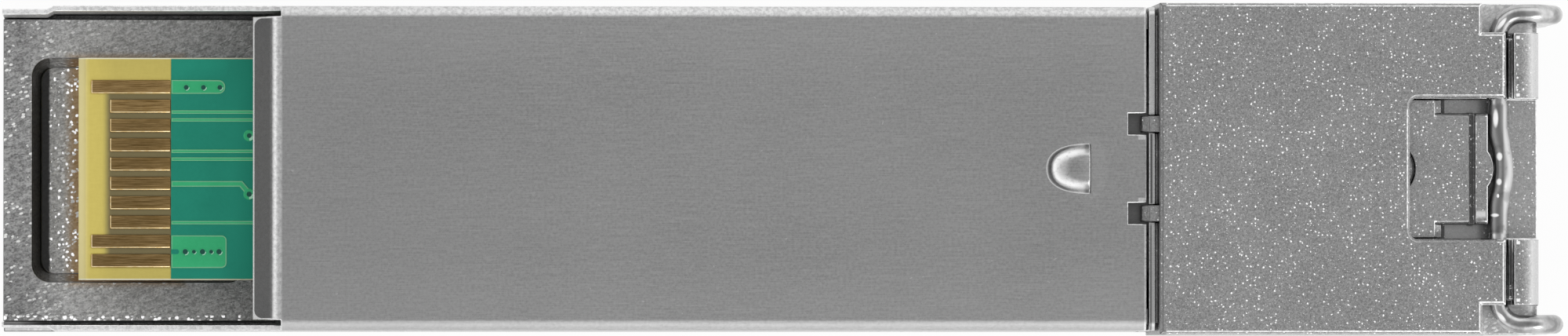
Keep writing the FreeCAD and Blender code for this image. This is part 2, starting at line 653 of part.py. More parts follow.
def bent_wire(points, bends):
    """A round wire along straight runs joined by tangent arcs."""
    pieces = []
    start = points[0]
    for before, corner, after, bend in zip(points, points[1:], points[2:], bends):
        inward = (before - corner).normalize()
        outward = (after - corner).normalize()
        half_turn = (math.pi - inward.getAngle(outward)) / 2
        setback = bend * math.tan(half_turn)
        entry = corner + inward * setback
        leave = corner + outward * setback
        centre = corner + (inward + outward).normalize() * (bend / math.cos(half_turn))
        section = Part.Face(Part.Wire(Part.makeCircle(WIRE / 2, entry, inward)))
        pieces.append(rod(start, entry, WIRE / 2))
        pieces.append(section.revolve(centre, outward.cross(inward), math.degrees(2 * half_turn)))
        start = leave
    pieces.append(rod(start, points[-1], WIRE / 2))
    return pieces[0].fuse(pieces[1:])


def crank_rise():
    """How far off the pivot the crank's corner lies, so that its round reaches the throw at 45 degrees."""
    throw = CRANK_THROW * math.sqrt(2)
    spare = 1 - (CRANK_BEND / CRANK_END) ** 2
    short = CRANK_BEND - throw
    return (-short + math.sqrt(short ** 2 - spare * (short ** 2 - CRANK_BEND ** 2))) / spare / math.sqrt(2)


def bail_wire():
    """The bail: crank and journals under the plate, elbows, legs and a hooked cross bar."""
    arm = ARM_SPREAD / 2
    drop = PIVOT_LEVEL - WIRE / 2 - FLOOR_ROOM
    hook = BAIL_REACH - HOOK_BACK
    half = ((0, CRANK_END, 0), (0, arm, 0), (BAIL_REACH, arm, 0), (BAIL_REACH, arm, -drop),
            (hook, arm, -drop), (hook, BUTT_GAP / 2, -drop))
    bends = (CRANK_BEND, ELBOW_BEND, FRONT_BEND, HOOK_BEND, HOOK_BEND)
    crank = [(crank_rise(), 0, crank_rise())]
    other = [(x, -y, z) for x, y, z in reversed(half)]
    pivot = V(PIVOT_X, 0, PIVOT_LEVEL)
    points = [pivot + V(*point) for point in other + crank + list(half)]
    return bent_wire(points, tuple(reversed(bends)) + (CRANK_BEND,) + bends)


def circuit_board():
    """The board: narrow contact tongue with a bevelled edge, wide body with two locating notches."""
    neck_x = BOARD_X + TONGUE_BOARD_LENGTH
    tongue = centred_block(BOARD_X, neck_x + BOARD_CORNER, TONGUE_BOARD_WIDTH, BOARD_BASE, BOARD_TOP)
    lead = [edge for edge in tongue.Edges
            if edge.BoundBox.XMax < BOARD_X + 1e-4 and edge.BoundBox.ZLength < 1e-4]
    tongue = tongue.makeChamfer(BOARD_BEVEL, lead)
    body = rounded_block(neck_x, BOARD_END_X, BOARD_WIDTH, BOARD_BASE, BOARD_TOP, BOARD_CORNER)
    notches = []
    for side in (-1, 1):
        centre = V(BOARD_X + PIN_FROM_EDGE, side * BOARD_WIDTH / 2, BOARD_BASE - 1)
        notches.append(rod(centre, centre + Z_DIR * (BOARD_THICK + 2), PIN_NOTCH))
    return tongue.fuse(body).cut(notches).removeSplitter()


def contact_end():
    """Where the contacts end and the solder mask begins."""
    return BOARD_X + CONTACT_SETBACK + CONTACT_LONG


def solder_mask(level):
    """The mask film on one face of the board, in front of the contacts."""
    start = contact_end() + MASK_START
    neck_x = BOARD_X + TONGUE_BOARD_LENGTH
    tongue_width = TONGUE_BOARD_WIDTH - 2 * MASK_EDGE
    body_width = BOARD_WIDTH - 2 * MASK_EDGE - 2 * PIN_NOTCH
    top = level + MASK_THICK
    tongue = centred_block(start, neck_x + BOARD_CORNER, tongue_width, level, top)
    body = rounded_block(neck_x + MASK_EDGE, BOARD_END_X - MASK_EDGE, body_width, level, top, BOARD_CORNER)
    return tongue.fuse(body).removeSplitter()


def edge_contacts(level, stagger, long_ones):
    """A row of gold contacts; the ground contacts reach nearer to the board's edge."""
    first = stagger + CONTACT_PITCH * (CONTACTS - 1) / 2
    pads = []
    for index in range(CONTACTS):
        length = CONTACT_LONG if index in long_ones else CONTACT_SHORT
        y = first - index * CONTACT_PITCH
        pads.append(block(contact_end() - length, contact_end(), y - CONTACT_WIDTH / 2, y + CONTACT_WIDTH / 2,
                          level, level + CONTACT_THICK))
    return Part.makeCompound(pads)


def chips(size, places):
    """Rectangular components on the masked underside of the board, at places along and across it."""
    base = BOARD_TOP + MASK_THICK
    length, width, height = size
    solids = []
    for along, across in places:
        x = BOARD_X + along
        solids.append(block(x - length / 2, x + length / 2, across - width / 2, across + width / 2,
                            base, base + height))
    return Part.makeCompound(solids)


def optical_barrel(y):
    """The turned barrel: collar for the can, flange, and front tube with its stepped bore."""
    pocket = FERRULE_RADIUS + SLEEVE_WALL + FIT / 2
    stub = STUB_RADIUS + FIT / 2
    bore = COLLAR_RADIUS - COLLAR_WALL
    profile = ((COLLAR_REAR_X, bore), (COLLAR_REAR_X, COLLAR_RADIUS), (FLANGE_REAR_X, COLLAR_RADIUS),
               (FLANGE_REAR_X, FLANGE_RADIUS), (FLANGE_FRONT_X, FLANGE_RADIUS),
               (FLANGE_FRONT_X, BARREL_RADIUS), (TIP_X - EDGE_BREAK, BARREL_RADIUS),
               (TIP_X, BARREL_RADIUS - EDGE_BREAK), (TIP_X, MOUTH_RADIUS + EDGE_BREAK),
               (SLEEVE_FRONT_X, MOUTH_RADIUS), (SLEEVE_FRONT_X, pocket),
               (STUB_FACE_X, pocket), (STUB_FACE_X, stub), (COLLAR_FLOOR_X, stub), (COLLAR_FLOOR_X, bore))
    return turned(profile, y, PORT_AXIS)


def split_sleeve(y):
    """The ceramic sleeve that grips the plug's ferrule, slit along its length."""
    outer = FERRULE_RADIUS + SLEEVE_WALL
    profile = ((STUB_FACE_X, FERRULE_RADIUS), (STUB_FACE_X, outer),
               (SLEEVE_FRONT_X, outer), (SLEEVE_FRONT_X, FERRULE_RADIUS))
    slit = block(STUB_FACE_X - 1, SLEEVE_FRONT_X + 1, y - SLEEVE_SLIT / 2, y + SLEEVE_SLIT / 2,
                 PORT_AXIS, PORT_AXIS + outer + 1)
    return turned(profile, y, PORT_AXIS).cut(slit)


def fibre_stub(y):
    """The ceramic stub pressed in behind the sleeve."""
    return rod(V(STUB_REAR_X, y, PORT_AXIS), V(STUB_FACE_X, y, PORT_AXIS), STUB_RADIUS)


def optical_can(y):
    """The sealed can: header and cap."""
    profile = ((HEADER_REAR_X, 0), (HEADER_REAR_X, CAN_HEADER_RADIUS), (COLLAR_REAR_X, CAN_HEADER_RADIUS),
               (COLLAR_REAR_X, CAP_RADIUS), (CAP_TIP_X, CAP_RADIUS), (CAP_TIP_X, 0))
    return turned(profile, y, PORT_AXIS)


def flex_circuit(y):
    """The flexible strip from the board's underside down over the can's header."""
    base = BOARD_TOP + MASK_THICK
    rear = BOARD_END_X - FLEX_OVERLAP
    outer = FLEX_BEND + FLEX_THICK
    centre = V(FLEX_X + FLEX_THICK - outer, y - FLEX_WIDTH / 2, base + FLEX_THICK - outer)
    mid = math.sqrt(0.5)

    def point(radius, along, up):
        return centre + V(radius * along, 0, radius * up)

    tail = V(0, 0, -FLEX_TAIL)
    start_low = V(rear, centre.y, base)
    start_high = V(rear, centre.y, base + FLEX_THICK)
    edges = [Part.makeLine(start_low, start_high),
             Part.makeLine(start_high, point(outer, 0, 1)),
             Part.Arc(point(outer, 0, 1), point(outer, mid, mid), point(outer, 1, 0)).toShape(),
             Part.makeLine(point(outer, 1, 0), point(outer, 1, 0) + tail),
             Part.makeLine(point(outer, 1, 0) + tail, point(FLEX_BEND, 1, 0) + tail),
             Part.makeLine(point(FLEX_BEND, 1, 0) + tail, point(FLEX_BEND, 1, 0)),
             Part.Arc(point(FLEX_BEND, 1, 0), point(FLEX_BEND, mid, mid), point(FLEX_BEND, 0, 1)).toShape(),
             Part.makeLine(point(FLEX_BEND, 0, 1), start_low)]
    return Part.Face(Part.Wire(edges)).extrude(Y_DIR * FLEX_WIDTH)


def retainer_width():
    """The retainer reaches into a key slot in each side wall."""
    return 2 * (HOUSING_Y - SIDE_WALL + RETAINER_KEY)


def optics_retainer():
    """The fork that drops in behind the flanges and holds both barrels forward."""
    front = RETAINER_X + RETAINER_THICK
    plate = centred_block(RETAINER_X, front, retainer_width(), RETAINER_BASE, RETAINER_LEVEL)
    radius = COLLAR_RADIUS + FIT
    cuts = []
    for side in (-1, 1):
        y = side * PORT_Y
        cuts.append(rod(V(RETAINER_X - 1, y, PORT_AXIS), V(front + 1, y, PORT_AXIS), radius))
        cuts.append(block(RETAINER_X - 1, front + 1, y - radius, y + radius, PORT_AXIS, RETAINER_LEVEL + 1))
    return plate.cut(cuts)


def all_nodes():
    """Every piece by name."""
    mask_base = BOARD_BASE - MASK_THICK
    nodes = {
        "main_housing": main_housing(),
        "nose_plate": nose_plate(),
        "sheet_cover": sheet_cover(),
        "emi_shield_plate": emi_shield_plate(),
        "release_slider": release_slider(),
        "bail_wire": bail_wire(),
        "circuit_board": circuit_board(),
        "solder_mask_underside": solder_mask(BOARD_TOP),
        "solder_mask_label_side": solder_mask(mask_base),
        "edge_contacts_underside": edge_contacts(BOARD_TOP, -CONTACT_STAGGER, (0, 8, 9)),
        "edge_contacts_label_side": edge_contacts(BOARD_BASE - CONTACT_THICK, CONTACT_STAGGER, (0, 3, 6, 9)),
        "optics_retainer": optics_retainer(),
    }
    for name, (size, places) in COMPONENTS.items():
        nodes[name] = chips(size, places)
    for name, side in (("transmitter", 1), ("receiver", -1)):
        y = side * PORT_Y
        nodes[name + "_barrel"] = optical_barrel(y)
        nodes[name + "_split_sleeve"] = split_sleeve(y)
        nodes[name + "_fibre_stub"] = fibre_stub(y)
        nodes[name + "_can"] = optical_can(y)
        nodes[name + "_flex"] = flex_circuit(y)
    return nodes


os.makedirs("parts", exist_ok=True)
for node_name, shape in all_nodes().items():
    shape.translate(V(-OVERALL_LENGTH / 2, 0, 0))
    shape.exportStep("parts/" + node_name + ".step")
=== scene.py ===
"""Looks for the small pluggable transceiver: finishes, board artwork, contacts, studio and camera.

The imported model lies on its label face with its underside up. Its frame is in metres; sizes here
are written in millimetres and scaled where a mesh is made.
"""
import bmesh
import bpy
import math
from mathutils import Matrix, Vector, noise


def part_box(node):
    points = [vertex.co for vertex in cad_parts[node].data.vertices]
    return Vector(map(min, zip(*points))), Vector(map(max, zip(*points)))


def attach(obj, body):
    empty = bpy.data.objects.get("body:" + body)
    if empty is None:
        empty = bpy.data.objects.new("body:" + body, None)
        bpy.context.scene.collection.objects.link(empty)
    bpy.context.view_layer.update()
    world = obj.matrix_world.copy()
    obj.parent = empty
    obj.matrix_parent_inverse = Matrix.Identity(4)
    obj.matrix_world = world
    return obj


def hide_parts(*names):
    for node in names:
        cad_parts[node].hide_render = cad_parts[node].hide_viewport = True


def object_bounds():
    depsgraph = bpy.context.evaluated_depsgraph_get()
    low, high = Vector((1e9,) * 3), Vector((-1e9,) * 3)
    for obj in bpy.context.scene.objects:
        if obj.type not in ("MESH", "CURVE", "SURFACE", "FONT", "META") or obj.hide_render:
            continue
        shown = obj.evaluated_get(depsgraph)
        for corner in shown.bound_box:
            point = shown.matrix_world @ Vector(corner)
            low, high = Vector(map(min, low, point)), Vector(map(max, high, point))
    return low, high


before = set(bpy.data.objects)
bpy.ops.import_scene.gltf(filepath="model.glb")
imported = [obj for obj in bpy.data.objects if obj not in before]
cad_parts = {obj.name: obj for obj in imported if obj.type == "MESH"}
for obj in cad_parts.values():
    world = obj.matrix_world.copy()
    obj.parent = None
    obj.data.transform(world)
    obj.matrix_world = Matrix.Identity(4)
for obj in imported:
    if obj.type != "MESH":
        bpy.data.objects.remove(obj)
cad_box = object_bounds()

MM = 0.001

# Photograph of the underside; the lens stands above it, slightly behind and to the near side
PHOTO_WIDTH = 2000
PHOTO_HEIGHT = 428
PIXELS_PER_MM = 30.79
REAR_END_PIXEL = 4.6
MID_LINE_PIXEL = 214.5
FOCUS_LEVEL = 8.5
CAMERA_HEIGHT = 600.0
CAMERA_BEHIND = 25.0
CAMERA_NEAR = 11.0
SENSOR = 36.0
FAR_CLIP = 20.0

# Soft tent, lamp and table, in metres where they are lengths
TENT_OVERHEAD = 0.46
TENT_RING = 0.84
TENT_RING_FADE = (0.95, 0.62)
TENT_SIDE = 0.8
TENT_SIDE_ALONG = 0.56
TENT_SIDE_ACROSS = 0.1
TENT_SIDE_FADE = (0.5, 0.12)
TENT_DARKEST = 0.16
LAMP_WIDTH = 0.35
LAMP_POWER = 0.6
LAMP_PLACE = (0.3, -0.4, 0.5)
TABLE_HALF = 4.0

# Latch boss drawn in the cover: run and slope of its flank, from the foot up
LATCH_SHOULDER = 45.0
BOSS_LENGTH = 1.8
BOSS_HALF = 1.04
BOSS_HEIGHT = 0.45
BOSS_SIDE_RUN = 0.76
BOSS_BLUNTNESS = 2.4
BOSS_SIDES = 72
BOSS_PROFILE = ((0.06, 22.0), (0.04, 36.0), (0.09, 46.0), (0.06, 44.0), (0.06, 34.0), (0.12, 26.0),
                (0.18, 18.0), (0.16, 11.0))

# Dents in the bail's wire, and the crank's pressed rear side beside the slider's follower
PINCH_SPACING = 0.6
PINCHES_PER_METRE = 800.0
PINCH_DEPTH = 0.09
PINCH_CUTS = 12
SMOOTH_SHARE = 0.2
PRESSED_SPAN = (0.8, 1.9)
PRESSED_DEPTH = 0.06
WIRE_TOP_HALF = 7.5

# Painted highlights on the bail's crank and elbows: place along and across, half sizes and turn
PAINTED_WIRE_HIGHLIGHTS = ((61.86, 2.1, 0.1, 0.36, 0.0), (62.0, 0.51, 0.11, 0.16, 0.0), (61.98, -0.54, 0.1, 0.13, 0.0),
               (61.94, -1.12, 0.05, 0.08, 0.0), (61.82, -1.92, 0.16, 0.07, 0.0),
               (62.1, 6.0, 0.32, 0.085, 0.91), (62.08, -6.12, 0.26, 0.075, -0.8))

# Slopes of the bright flecks along the near edge of the rear bay and on both halves of the pocket's floor
GLINT_LEAN = (-0.46, 0.1, 0.0)
FAR_SPARK_LEAN = (-0.12, -0.42, 0.0)
NEAR_SPARK_LEAN = (-0.12, 0.42, 0.0)

# Marks that the finishes pick out, from the rear end, or across where so named
POCKET_WALL = 1.21
BAY_END = (12.0, 11.4)
SKIRT_JOG = (0.1, 2.1)
LIP_FOLD = (11.61, 11.5)
LIP_FACE = (11.36, 11.03)
LIP_CORNER = 10.75
LIP_CORNER_ACROSS = 5.87
COVER_FRONT = (47.24, 47.3)
NOTCH_ENDS = (47.05, 47.5)
NOTCH_RIMS_ACROSS = ((1.22, 1.5), (2.1, 2.32))
STRIP_LINE = (47.53, 47.6)
STRIP_SHADE = (47.4, 47.57)
NOSE_SEAM = (48.2, 48.1)
EJECTOR_MARK = 57.31
CUT_OUT_REAR = (58.1, 58.75)
CUT_OUT_SIDES = (58.7, 61.85)
CUT_OUT_EDGE_ACROSS = (2.8, 3.1)
SLIDER_SPAN = (58.4, 61.4)
SLIDER_STEP = (59.25, 59.37)
SLIDER_SLOTS = (58.4, 61.3)
TONGUE_GROOVE = (60.76, 60.98)
TONGUE_LIP_REAR = (60.96, 61.05)
TONGUE_LIP_FRONT = (61.46, 61.62)
BAIL_CORNERS = (61.2, 65.0)
CRANK_FRONT = (62.12, 62.24)
FRONT_LEDGE = (62.5, 64.5)
KNUCKLE_CHANNEL = (62.3, 62.62)
KNUCKLE_GLINTS = (62.72, 62.79)
KNUCKLE_CORNERS = (62.73, 62.83)
KNUCKLE_FRONT = (63.11, 63.5)
KNUCKLE_ACROSS = (2.95, 5.6)

# Flange of the shield strip, seen through the cover's notches; its darkened colour is painted shade
FLANGE = ((46.25, 47.48), 2.65, (7.1, 7.25))

# Contacts on the board's edge
CONTACTS = 10
CONTACT_PITCH = 0.8
CONTACT_WIDTH = 0.55
CONTACT_LONG = 3.28
CONTACT_SHORT = 2.5
CONTACT_EDGE = 0.045
LIT_EDGE_SLOPE = 0.3
FIRST_UNDERSIDE = 3.4
FIRST_LABEL_SIDE = 3.8
LONG_UNDERSIDE = (0, 8, 9)
LONG_LABEL_SIDE = (0, 3, 6, 9)

# Copper under the solder mask, from the rear end and across
COPPER_THICK = 0.022
COPPER_EDGE = 0.012
COPPER_OUTLINE = 0.045
COPPER_START = 6.99
TRACE_END = 12.0
TRACE_WIDTH = 0.155
TRACE_LINES = (2.356, 2.031, 0.731, 0.406, -2.226)
WIDE_TRACE_WIDTH = 0.25
WIDE_TRACE = ((6.99, -0.62), (9.88, -0.62), (10.24, -1.04))
SINGLE_PAD = (6.99, 9.23, 3.104, 3.689)
SINGLE_PAD_ROUND = 0.28
PAIR_PAD = (6.99, 9.295, -4.111, -2.746)
PAIR_PAD_ROUND = 0.22
PAD_CORNER_STEPS = 6
PAD_SLOT = (7.0, 7.31, -3.53, -3.33)
PAD_SLOT_ROUND = 0.09
PAD_SLOT_SUNK = 0.004
PAD_SLOT_THICK = 0.007
VIA_SIDES = 20
VIA_HEIGHT = 0.03
VIA_SUNK = 0.012
VIA_RIM_TOP = 0.8
VIA_GLINT_REACH = 1.1
VIAS = ((7.605, 3.377, 0.1, 0.05), (8.32, 3.377, 0.1, 0.05), (9.002, 3.377, 0.1, 0.05),
        (7.57, -3.43, 0.11, 0.05), (8.287, -3.43, 0.11, 0.05), (8.97, -3.43, 0.11, 0.05),
        (7.93, -3.43, 0.08, 0.04), (8.645, -3.43, 0.08, 0.04),
        (10.22, 1.381, 0.1, 0.14), (10.22, -1.045, 0.11, 0.13))

# Cast pieces: node, name, body and broken edge
CAST_PIECES = (("main_housing", "cast_housing", "module", 0.035),
               ("nose_plate", "cast_nose_plate", "module", 0.03),
               ("release_slider", "cast_slider", "slider", 0.035))
COVER_EDGE = 0.03
STRIP_EDGE = 0.02

# Finishing of the pieces
SAME_PLACE = 1e-7
FACING_UP = 0.9
SMOOTH_ANGLE = math.radians(32)
SHARP_ANGLE = math.radians(34)
FLAT_ANGLE = math.radians(0.6)


def from_rear(along):
    """A place along the module, counted from its rear end, on the frame's X axis."""
    return along * MM + cad_box[0][0]


def math_node(operation, flipped=False):
    """A method that adds a Math node, with the other value second or, if flipped, first."""
    def added(signal, other=0.0):
        first, second = (other, signal) if flipped else (signal, other)
        return signal.tree.node("Math", {"operation": operation}, {0: first, 1: second})
    return added


class Signal:
    """A socket's value; arithmetic on it adds Math nodes beside it."""

    def __init__(self, tree, socket):
        self.tree = tree
        self.socket = socket

    __add__ = __radd__ = math_node("ADD")
    __sub__ = math_node("SUBTRACT")
    __rsub__ = math_node("SUBTRACT", True)
    __mul__ = __rmul__ = math_node("MULTIPLY")
    __pow__ = math_node("POWER")
    larger = math_node("MAXIMUM")
    size = math_node("ABSOLUTE")


class NodeTree:
    """A node tree with one way to add any node."""

    def __init__(self, tree):
        self.tree = tree
        tree.nodes.clear()

    def node(self, kind, settings=None, sockets=None, out=0):
        """Adds a shader node by its type, sets it, fills or links its sockets and gives one output."""
        made = self.tree.nodes.new("ShaderNode" + kind)
        for name, value in (settings or {}).items():
            setattr(made, name, value)
        for name, value in (sockets or {}).items():
            if isinstance(value, Signal):
                self.tree.links.new(value.socket, made.inputs[name])
            else:
                made.inputs[name].default_value = value
        return Signal(self, made.outputs[out]) if made.outputs else made

    def part(self, vector, axis):
        """One part of a vector: 0, 1 or 2."""
        return self.node("SeparateXYZ", None, {0: vector}, axis)

    def fade(self, value, low, high):
        """0 at low, 1 at high, smooth between them."""
        return self.node("MapRange", {"interpolation_type": "SMOOTHSTEP"},
                         {"Value": value, "From Min": low, "From Max": high})

    def mix(self, share, first, second):
        """One colour, or level of grey, turning into another."""
        return self.node("Mix", {"data_type": "RGBA"},
                         {"Factor": share, "A": self.colour(first), "B": self.colour(second)}, 2)

    def layered(self, base, *layers):
        """A colour with others laid over it, each given as its share and its colour."""
        for share, over in layers:
            base = self.mix(share, base, over)
        return base

    @staticmethod
    def colour(value):
        """What a colour socket takes for a signal, a colour or a level of grey."""
        if isinstance(value, Signal):
            return value
        return (value, value, value, 1.0) if isinstance(value, float) else (*value, 1.0)


class Look(NodeTree):
    """A material under construction, in millimetres; x is counted from the rear end."""

    def __init__(self, name):
        self.material = bpy.data.materials.new(name)
        self.material.use_nodes = True
        super().__init__(self.material.node_tree)
        spot = self.node("TexCoord", None, None, 3)
        self.place = self.node("VectorMath", {"operation": "SCALE"}, {0: spot, "Scale": 1 / MM})
        self.x = self.part(self.place, 0) - cad_box[0][0] / MM
        self.y = self.part(self.place, 1)
        self.z = self.part(self.place, 2)
        self.across = self.y.size()

    def stretched(self, along, across, up):
        """Coordinates drawn out, for streaks."""
        return self.node("Mapping", None, {"Vector": self.place, "Scale": (along, across, up)})

    def slanted(self, long, wide, turn):
        """Coordinates for marks so long and so wide, turned across the piece."""
        return self.node("Mapping", {"vector_type": "TEXTURE"},
                         {"Vector": self.place, "Rotation": (0.0, 0.0, turn), "Scale": (long, wide, wide)})

    def noise(self, scale, detail=3.0, rough=0.55, place=None):
        """Soft noise from 0 to 1, so many to the millimetre."""
        return self.node("TexNoise", None, {"Vector": place or self.place, "Scale": scale,
                                            "Detail": detail, "Roughness": rough})

    def specks(self, scale, reach, share=1.0, place=None):
        """Small ragged specks, 1 inside, in a share of the cells, so many cells to the millimetre."""
        place = place or self.place
        drift = self.node("TexNoise", None, {"Vector": place, "Scale": 3.0 * scale}, 1)
        torn = self.node("VectorMath", {"operation": "MULTIPLY_ADD"},
                         {0: drift, 1: (0.45 / scale,) * 3, 2: place})
        near = self.node("TexVoronoi", None, {"Vector": torn, "Scale": scale})
        chance = self.part(Signal(self, near.socket.node.outputs["Color"]), 0)
        return self.fade(near, reach, reach * 0.8) * self.fade(chance + share, 1.0, 1.02)

    def band(self, value, low, high, soft):
        """1 between two values, with soft ends outside them."""
        return self.fade(value, low - soft, low) * self.fade(value, high + soft, high)

    def along(self, start, end, soft=0.05):
        """1 between two places counted from the rear end."""
        return self.band(self.x, start, end, soft)

    def onward(self, start, end):
        """0 at one place counted from the rear end, 1 at another, smooth between them."""
        return self.fade(self.x, start, end)

    def outward(self, start, end):
        """The same for two distances from the middle line."""
        return self.fade(self.across, start, end)

    def upward(self, start, end):
        """The same for two levels."""
        return self.fade(self.z, start, end)

    def bump(self, height, strength, depth):
        """A normal from a height that reaches so many millimetres."""
        return self.node("Bump", None, {"Height": height, "Strength": strength, "Distance": depth * MM})

    def leaning(self, normal, share, lean):
        """A normal that leans over by a share of a slope along and across the piece."""
        slope = self.node("VectorTransform", {"convert_from": "OBJECT", "convert_to": "WORLD"},
                          {"Vector": lean})
        leant = self.node("VectorMath", {"operation": "MULTIPLY_ADD"}, {0: slope, 1: share, 2: normal})
        return self.node("VectorMath", {"operation": "NORMALIZE"}, {0: leant})

    def surface(self, sockets):
        """Ends the material with a Principled shader."""
        shader = self.node("BsdfPrincipled", None, sockets)
        self.node("OutputMaterial", None, {"Surface": shader})
        return self.material


def cast_zinc_finish():
    """As-cast zinc: grainy grey with white specks painted as sparkles, wrinkled in the bay, with painted
    light and shade in places and painted bounce light beside the laminate.
    """
    look = Look("as_cast_zinc")
    bay = rear_bay(look)
    wall = pocket_wall_painted_shade(look)
    knuckle = knuckle_round(look)
    grain = look.noise(8.5, 5.0, 0.7)
    pits = look.noise(19.0, 3.0, 0.6)
    wrinkle = look.noise(1.0, 4.0, 0.72, look.slanted(0.23, 0.11, 0.3))
    grey = zinc_greys_and_painted_light(look, look.fade(grain * 0.5 + pits * 0.5, 0.28, 0.72), wrinkle, bay)
    grey = zinc_shades(look, grey, wall, knuckle)
    row = look.specks(4.4, 0.44, near_edge_row(look))
    sparks = look.specks(5.5, 0.4, pocket_floor(look)) * (1.0 - wall)
    glints = row.larger(sparks)
    # white specks painted as the casting's sparkles
    specks = zinc_painted_sparkles(look, bay) * (1.0 - wall) * (1.0 - knuckle * 0.7) * (1.0 - glints)
    height = grain * 0.6 + pits * 0.4 + bay * wrinkle * 3.5
    height = height * (1.0 - wall) * (1.0 - knuckle * 0.8) * (1.0 - glints)
    far = look.fade(look.y, -0.3, 0.3)
    normal = look.leaning(look.bump(height, 0.4, 0.03), row, GLINT_LEAN)
    normal = look.leaning(normal, sparks * far, FAR_SPARK_LEAN)
    normal = look.leaning(normal, sparks * (1.0 - far), NEAR_SPARK_LEAN)
    return look.surface({"Base Color": look.mix(specks.larger(glints), grey, 1.0),
                         "Metallic": 1.0 - specks,
                         "Roughness": 0.34 + 0.16 * pits - 0.12 * knuckle.larger(glints),
                         "Normal": normal})


def zinc_greys_and_painted_light(look, tone, wrinkle, bay):
    """Mottled greys of the casting, with painted light in the bay, in the open corners and in the slots
    beside the slider, and a paler ledge ahead of the crank.
    """
    cloud = look.noise(0.35, 2.0)
    return look.layered(
        look.mix(tone, 0.2, 0.54),
        (look.fade(cloud, 0.35, 0.7) * 0.1, 0.7),
        (bay, bay_wrinkle_and_painted_light(look, wrinkle)),
        (bail_corner(look) * 0.9, corner_mottle_and_painted_light(look, wrinkle)),
        (front_ledge(look) * 0.2, 0.8),
        # painted light on the floors of the slots beside the slider
        (slider_well(look) * 0.45, 0.8))


def zinc_shades(look, grey, wall, knuckle):
    """Paler knuckle fronts and lip ends, painted bounce light beside the laminate, and painted shade on the
    pocket wall and round the slider.
    """
    return look.layered(
        grey,
        (knuckle * 0.6, 0.84),
        (pale_lip_ends(look) * 0.85, 1.0),
        (painted_board_bounce(look), (0.5, 0.28, 0.06)),
        # painted shade on the pocket wall, darkest low down
        (wall * (0.42 + 0.54 * look.upward(2.4, 2.25)), 0.04),
        (slider_shades(look) * 0.75, 0.05))


def zinc_painted_sparkles(look, bay):
    """Painted sparkles: white specks standing in for the casting's glints, with painted highlights at the
    knuckles' ends and painted light on the near sill.
    """
    cluster = look.fade(look.noise(0.7, 2.0), 0.3, 0.52)
    fine = look.specks(6.0, 0.24, cluster * 0.6).larger(look.specks(10.0, 0.2, 0.5) * 0.6)
    fine = fine.larger(look.specks(6.0, 0.34) * sparkling_lines(look)).larger(knuckle_end_highlights(look))
    flecks = look.specks(1.0, 0.4, painted_sparkle_spread(look) * 0.6, look.slanted(0.24, 0.14, 0.35))
    # painted light on the near sill, which lies in the skirt's shade
    return (fine * (1.0 - bay)).larger(flecks).larger(near_sill_painted_light(look) * 0.7)


def zinc_edge_wear_and_painted_highlight_finish():
    """Zinc paler along its edges, partly wear and partly painted highlight; painted shade darkens edges from
    the nose's seam back, round the slider and along the cut-out, and a painted white highlight lies on the
    slider's lip.
    """
    look = Look("zinc_edge_wear_and_painted_highlight")
    wear = look.noise(6.0, 4.0, 0.6)
    grey = look.mix(look.fade(wear, 0.32, 0.6), 0.55, 0.95)
    grey = look.mix(edges_in_painted_shade(look) * 0.9, grey, 0.12)
    # painted highlight along the front edge of the slider's lip
    painted_lip_highlight = look.along(*TONGUE_LIP_FRONT, 0.02) * look.outward(2.3, 2.2) * look.upward(8.5, 8.7)
    return look.surface({"Base Color": look.mix(painted_lip_highlight, grey, 1.0), "Metallic": 1.0 - painted_lip_highlight,
                         "Roughness": 0.22 + 0.16 * wear, "Normal": look.bump(wear, 0.2, 0.015)})


def edges_in_painted_shade(look):
    """Edges painted dark as shade: from the nose's seam back, round the slider and along the sides of its
    cut-out, most on the near side.
    """
    inside, outside = CUT_OUT_EDGE_ACROSS
    slider = look.along(*SLIDER_SPAN) * look.outward(2.9, 2.86) * (1.0 - look.along(*SLIDER_STEP))
    sides = look.along(*CUT_OUT_SIDES) * look.band(look.across, inside, outside, 0.03)
    # painted shade: the edges on the near side darker
    sides = sides * (0.4 + 0.45 * look.fade(look.y, 1.0, -1.0))
    corners = look.along(*CUT_OUT_REAR) * look.band(look.across, 2.5, outside, 0.1)
    return look.onward(*NOSE_SEAM).larger(slider * 0.8).larger(sides).larger(corners * 0.7)


def bay_wrinkle_and_painted_light(look, wrinkle):
    """Greys of the rear bay's wrinkled skin, with painted light making them paler towards the cover."""
    painted_lift = look.along(3.0, 12.0, 2.5)
    low = look.mix(painted_lift, 0.16, 0.35)
    high = look.mix(painted_lift, 0.51, 0.86)
    fine = look.noise(11.0, 3.0, 0.65)
    return look.mix(look.fade(wrinkle * 0.6 + fine * 0.4, 0.35, 0.65), low, high)


def corner_mottle_and_painted_light(look, wrinkle):
    """Mottled greys of the open corners round the bail, lifted by painted light, with painted shade
    darkening the near one.
    """
    tones = look.mix(look.fade(wrinkle, 0.4, 0.6), 0.72, 1.0)
    # painted shade: the near corner darker
    return look.mix(look.fade(look.y, 1.0, -1.0) * 0.25, tones, 0.2)


def sparkling_lines(look):
    """Lines of glints: the rear of the slider's lip and the rear of both knuckles."""
    lip = look.along(*TONGUE_LIP_REAR, 0.02) * look.outward(2.35, 2.25)
    knuckles = look.along(*KNUCKLE_GLINTS, 0.03) * look.band(look.across, *KNUCKLE_ACROSS, 0.05)
    return lip.larger(knuckles)


def pale_lip_ends(look):
    """Paler places at both ends of the slider's lip."""
    near = look.along(61.06, 61.4, 0.08) * look.band(look.y, -1.92, -1.84, 0.18)
    far = look.along(60.97, 61.04, 0.03) * look.band(look.y, 1.5, 1.85, 0.08)
    return near.larger(far)


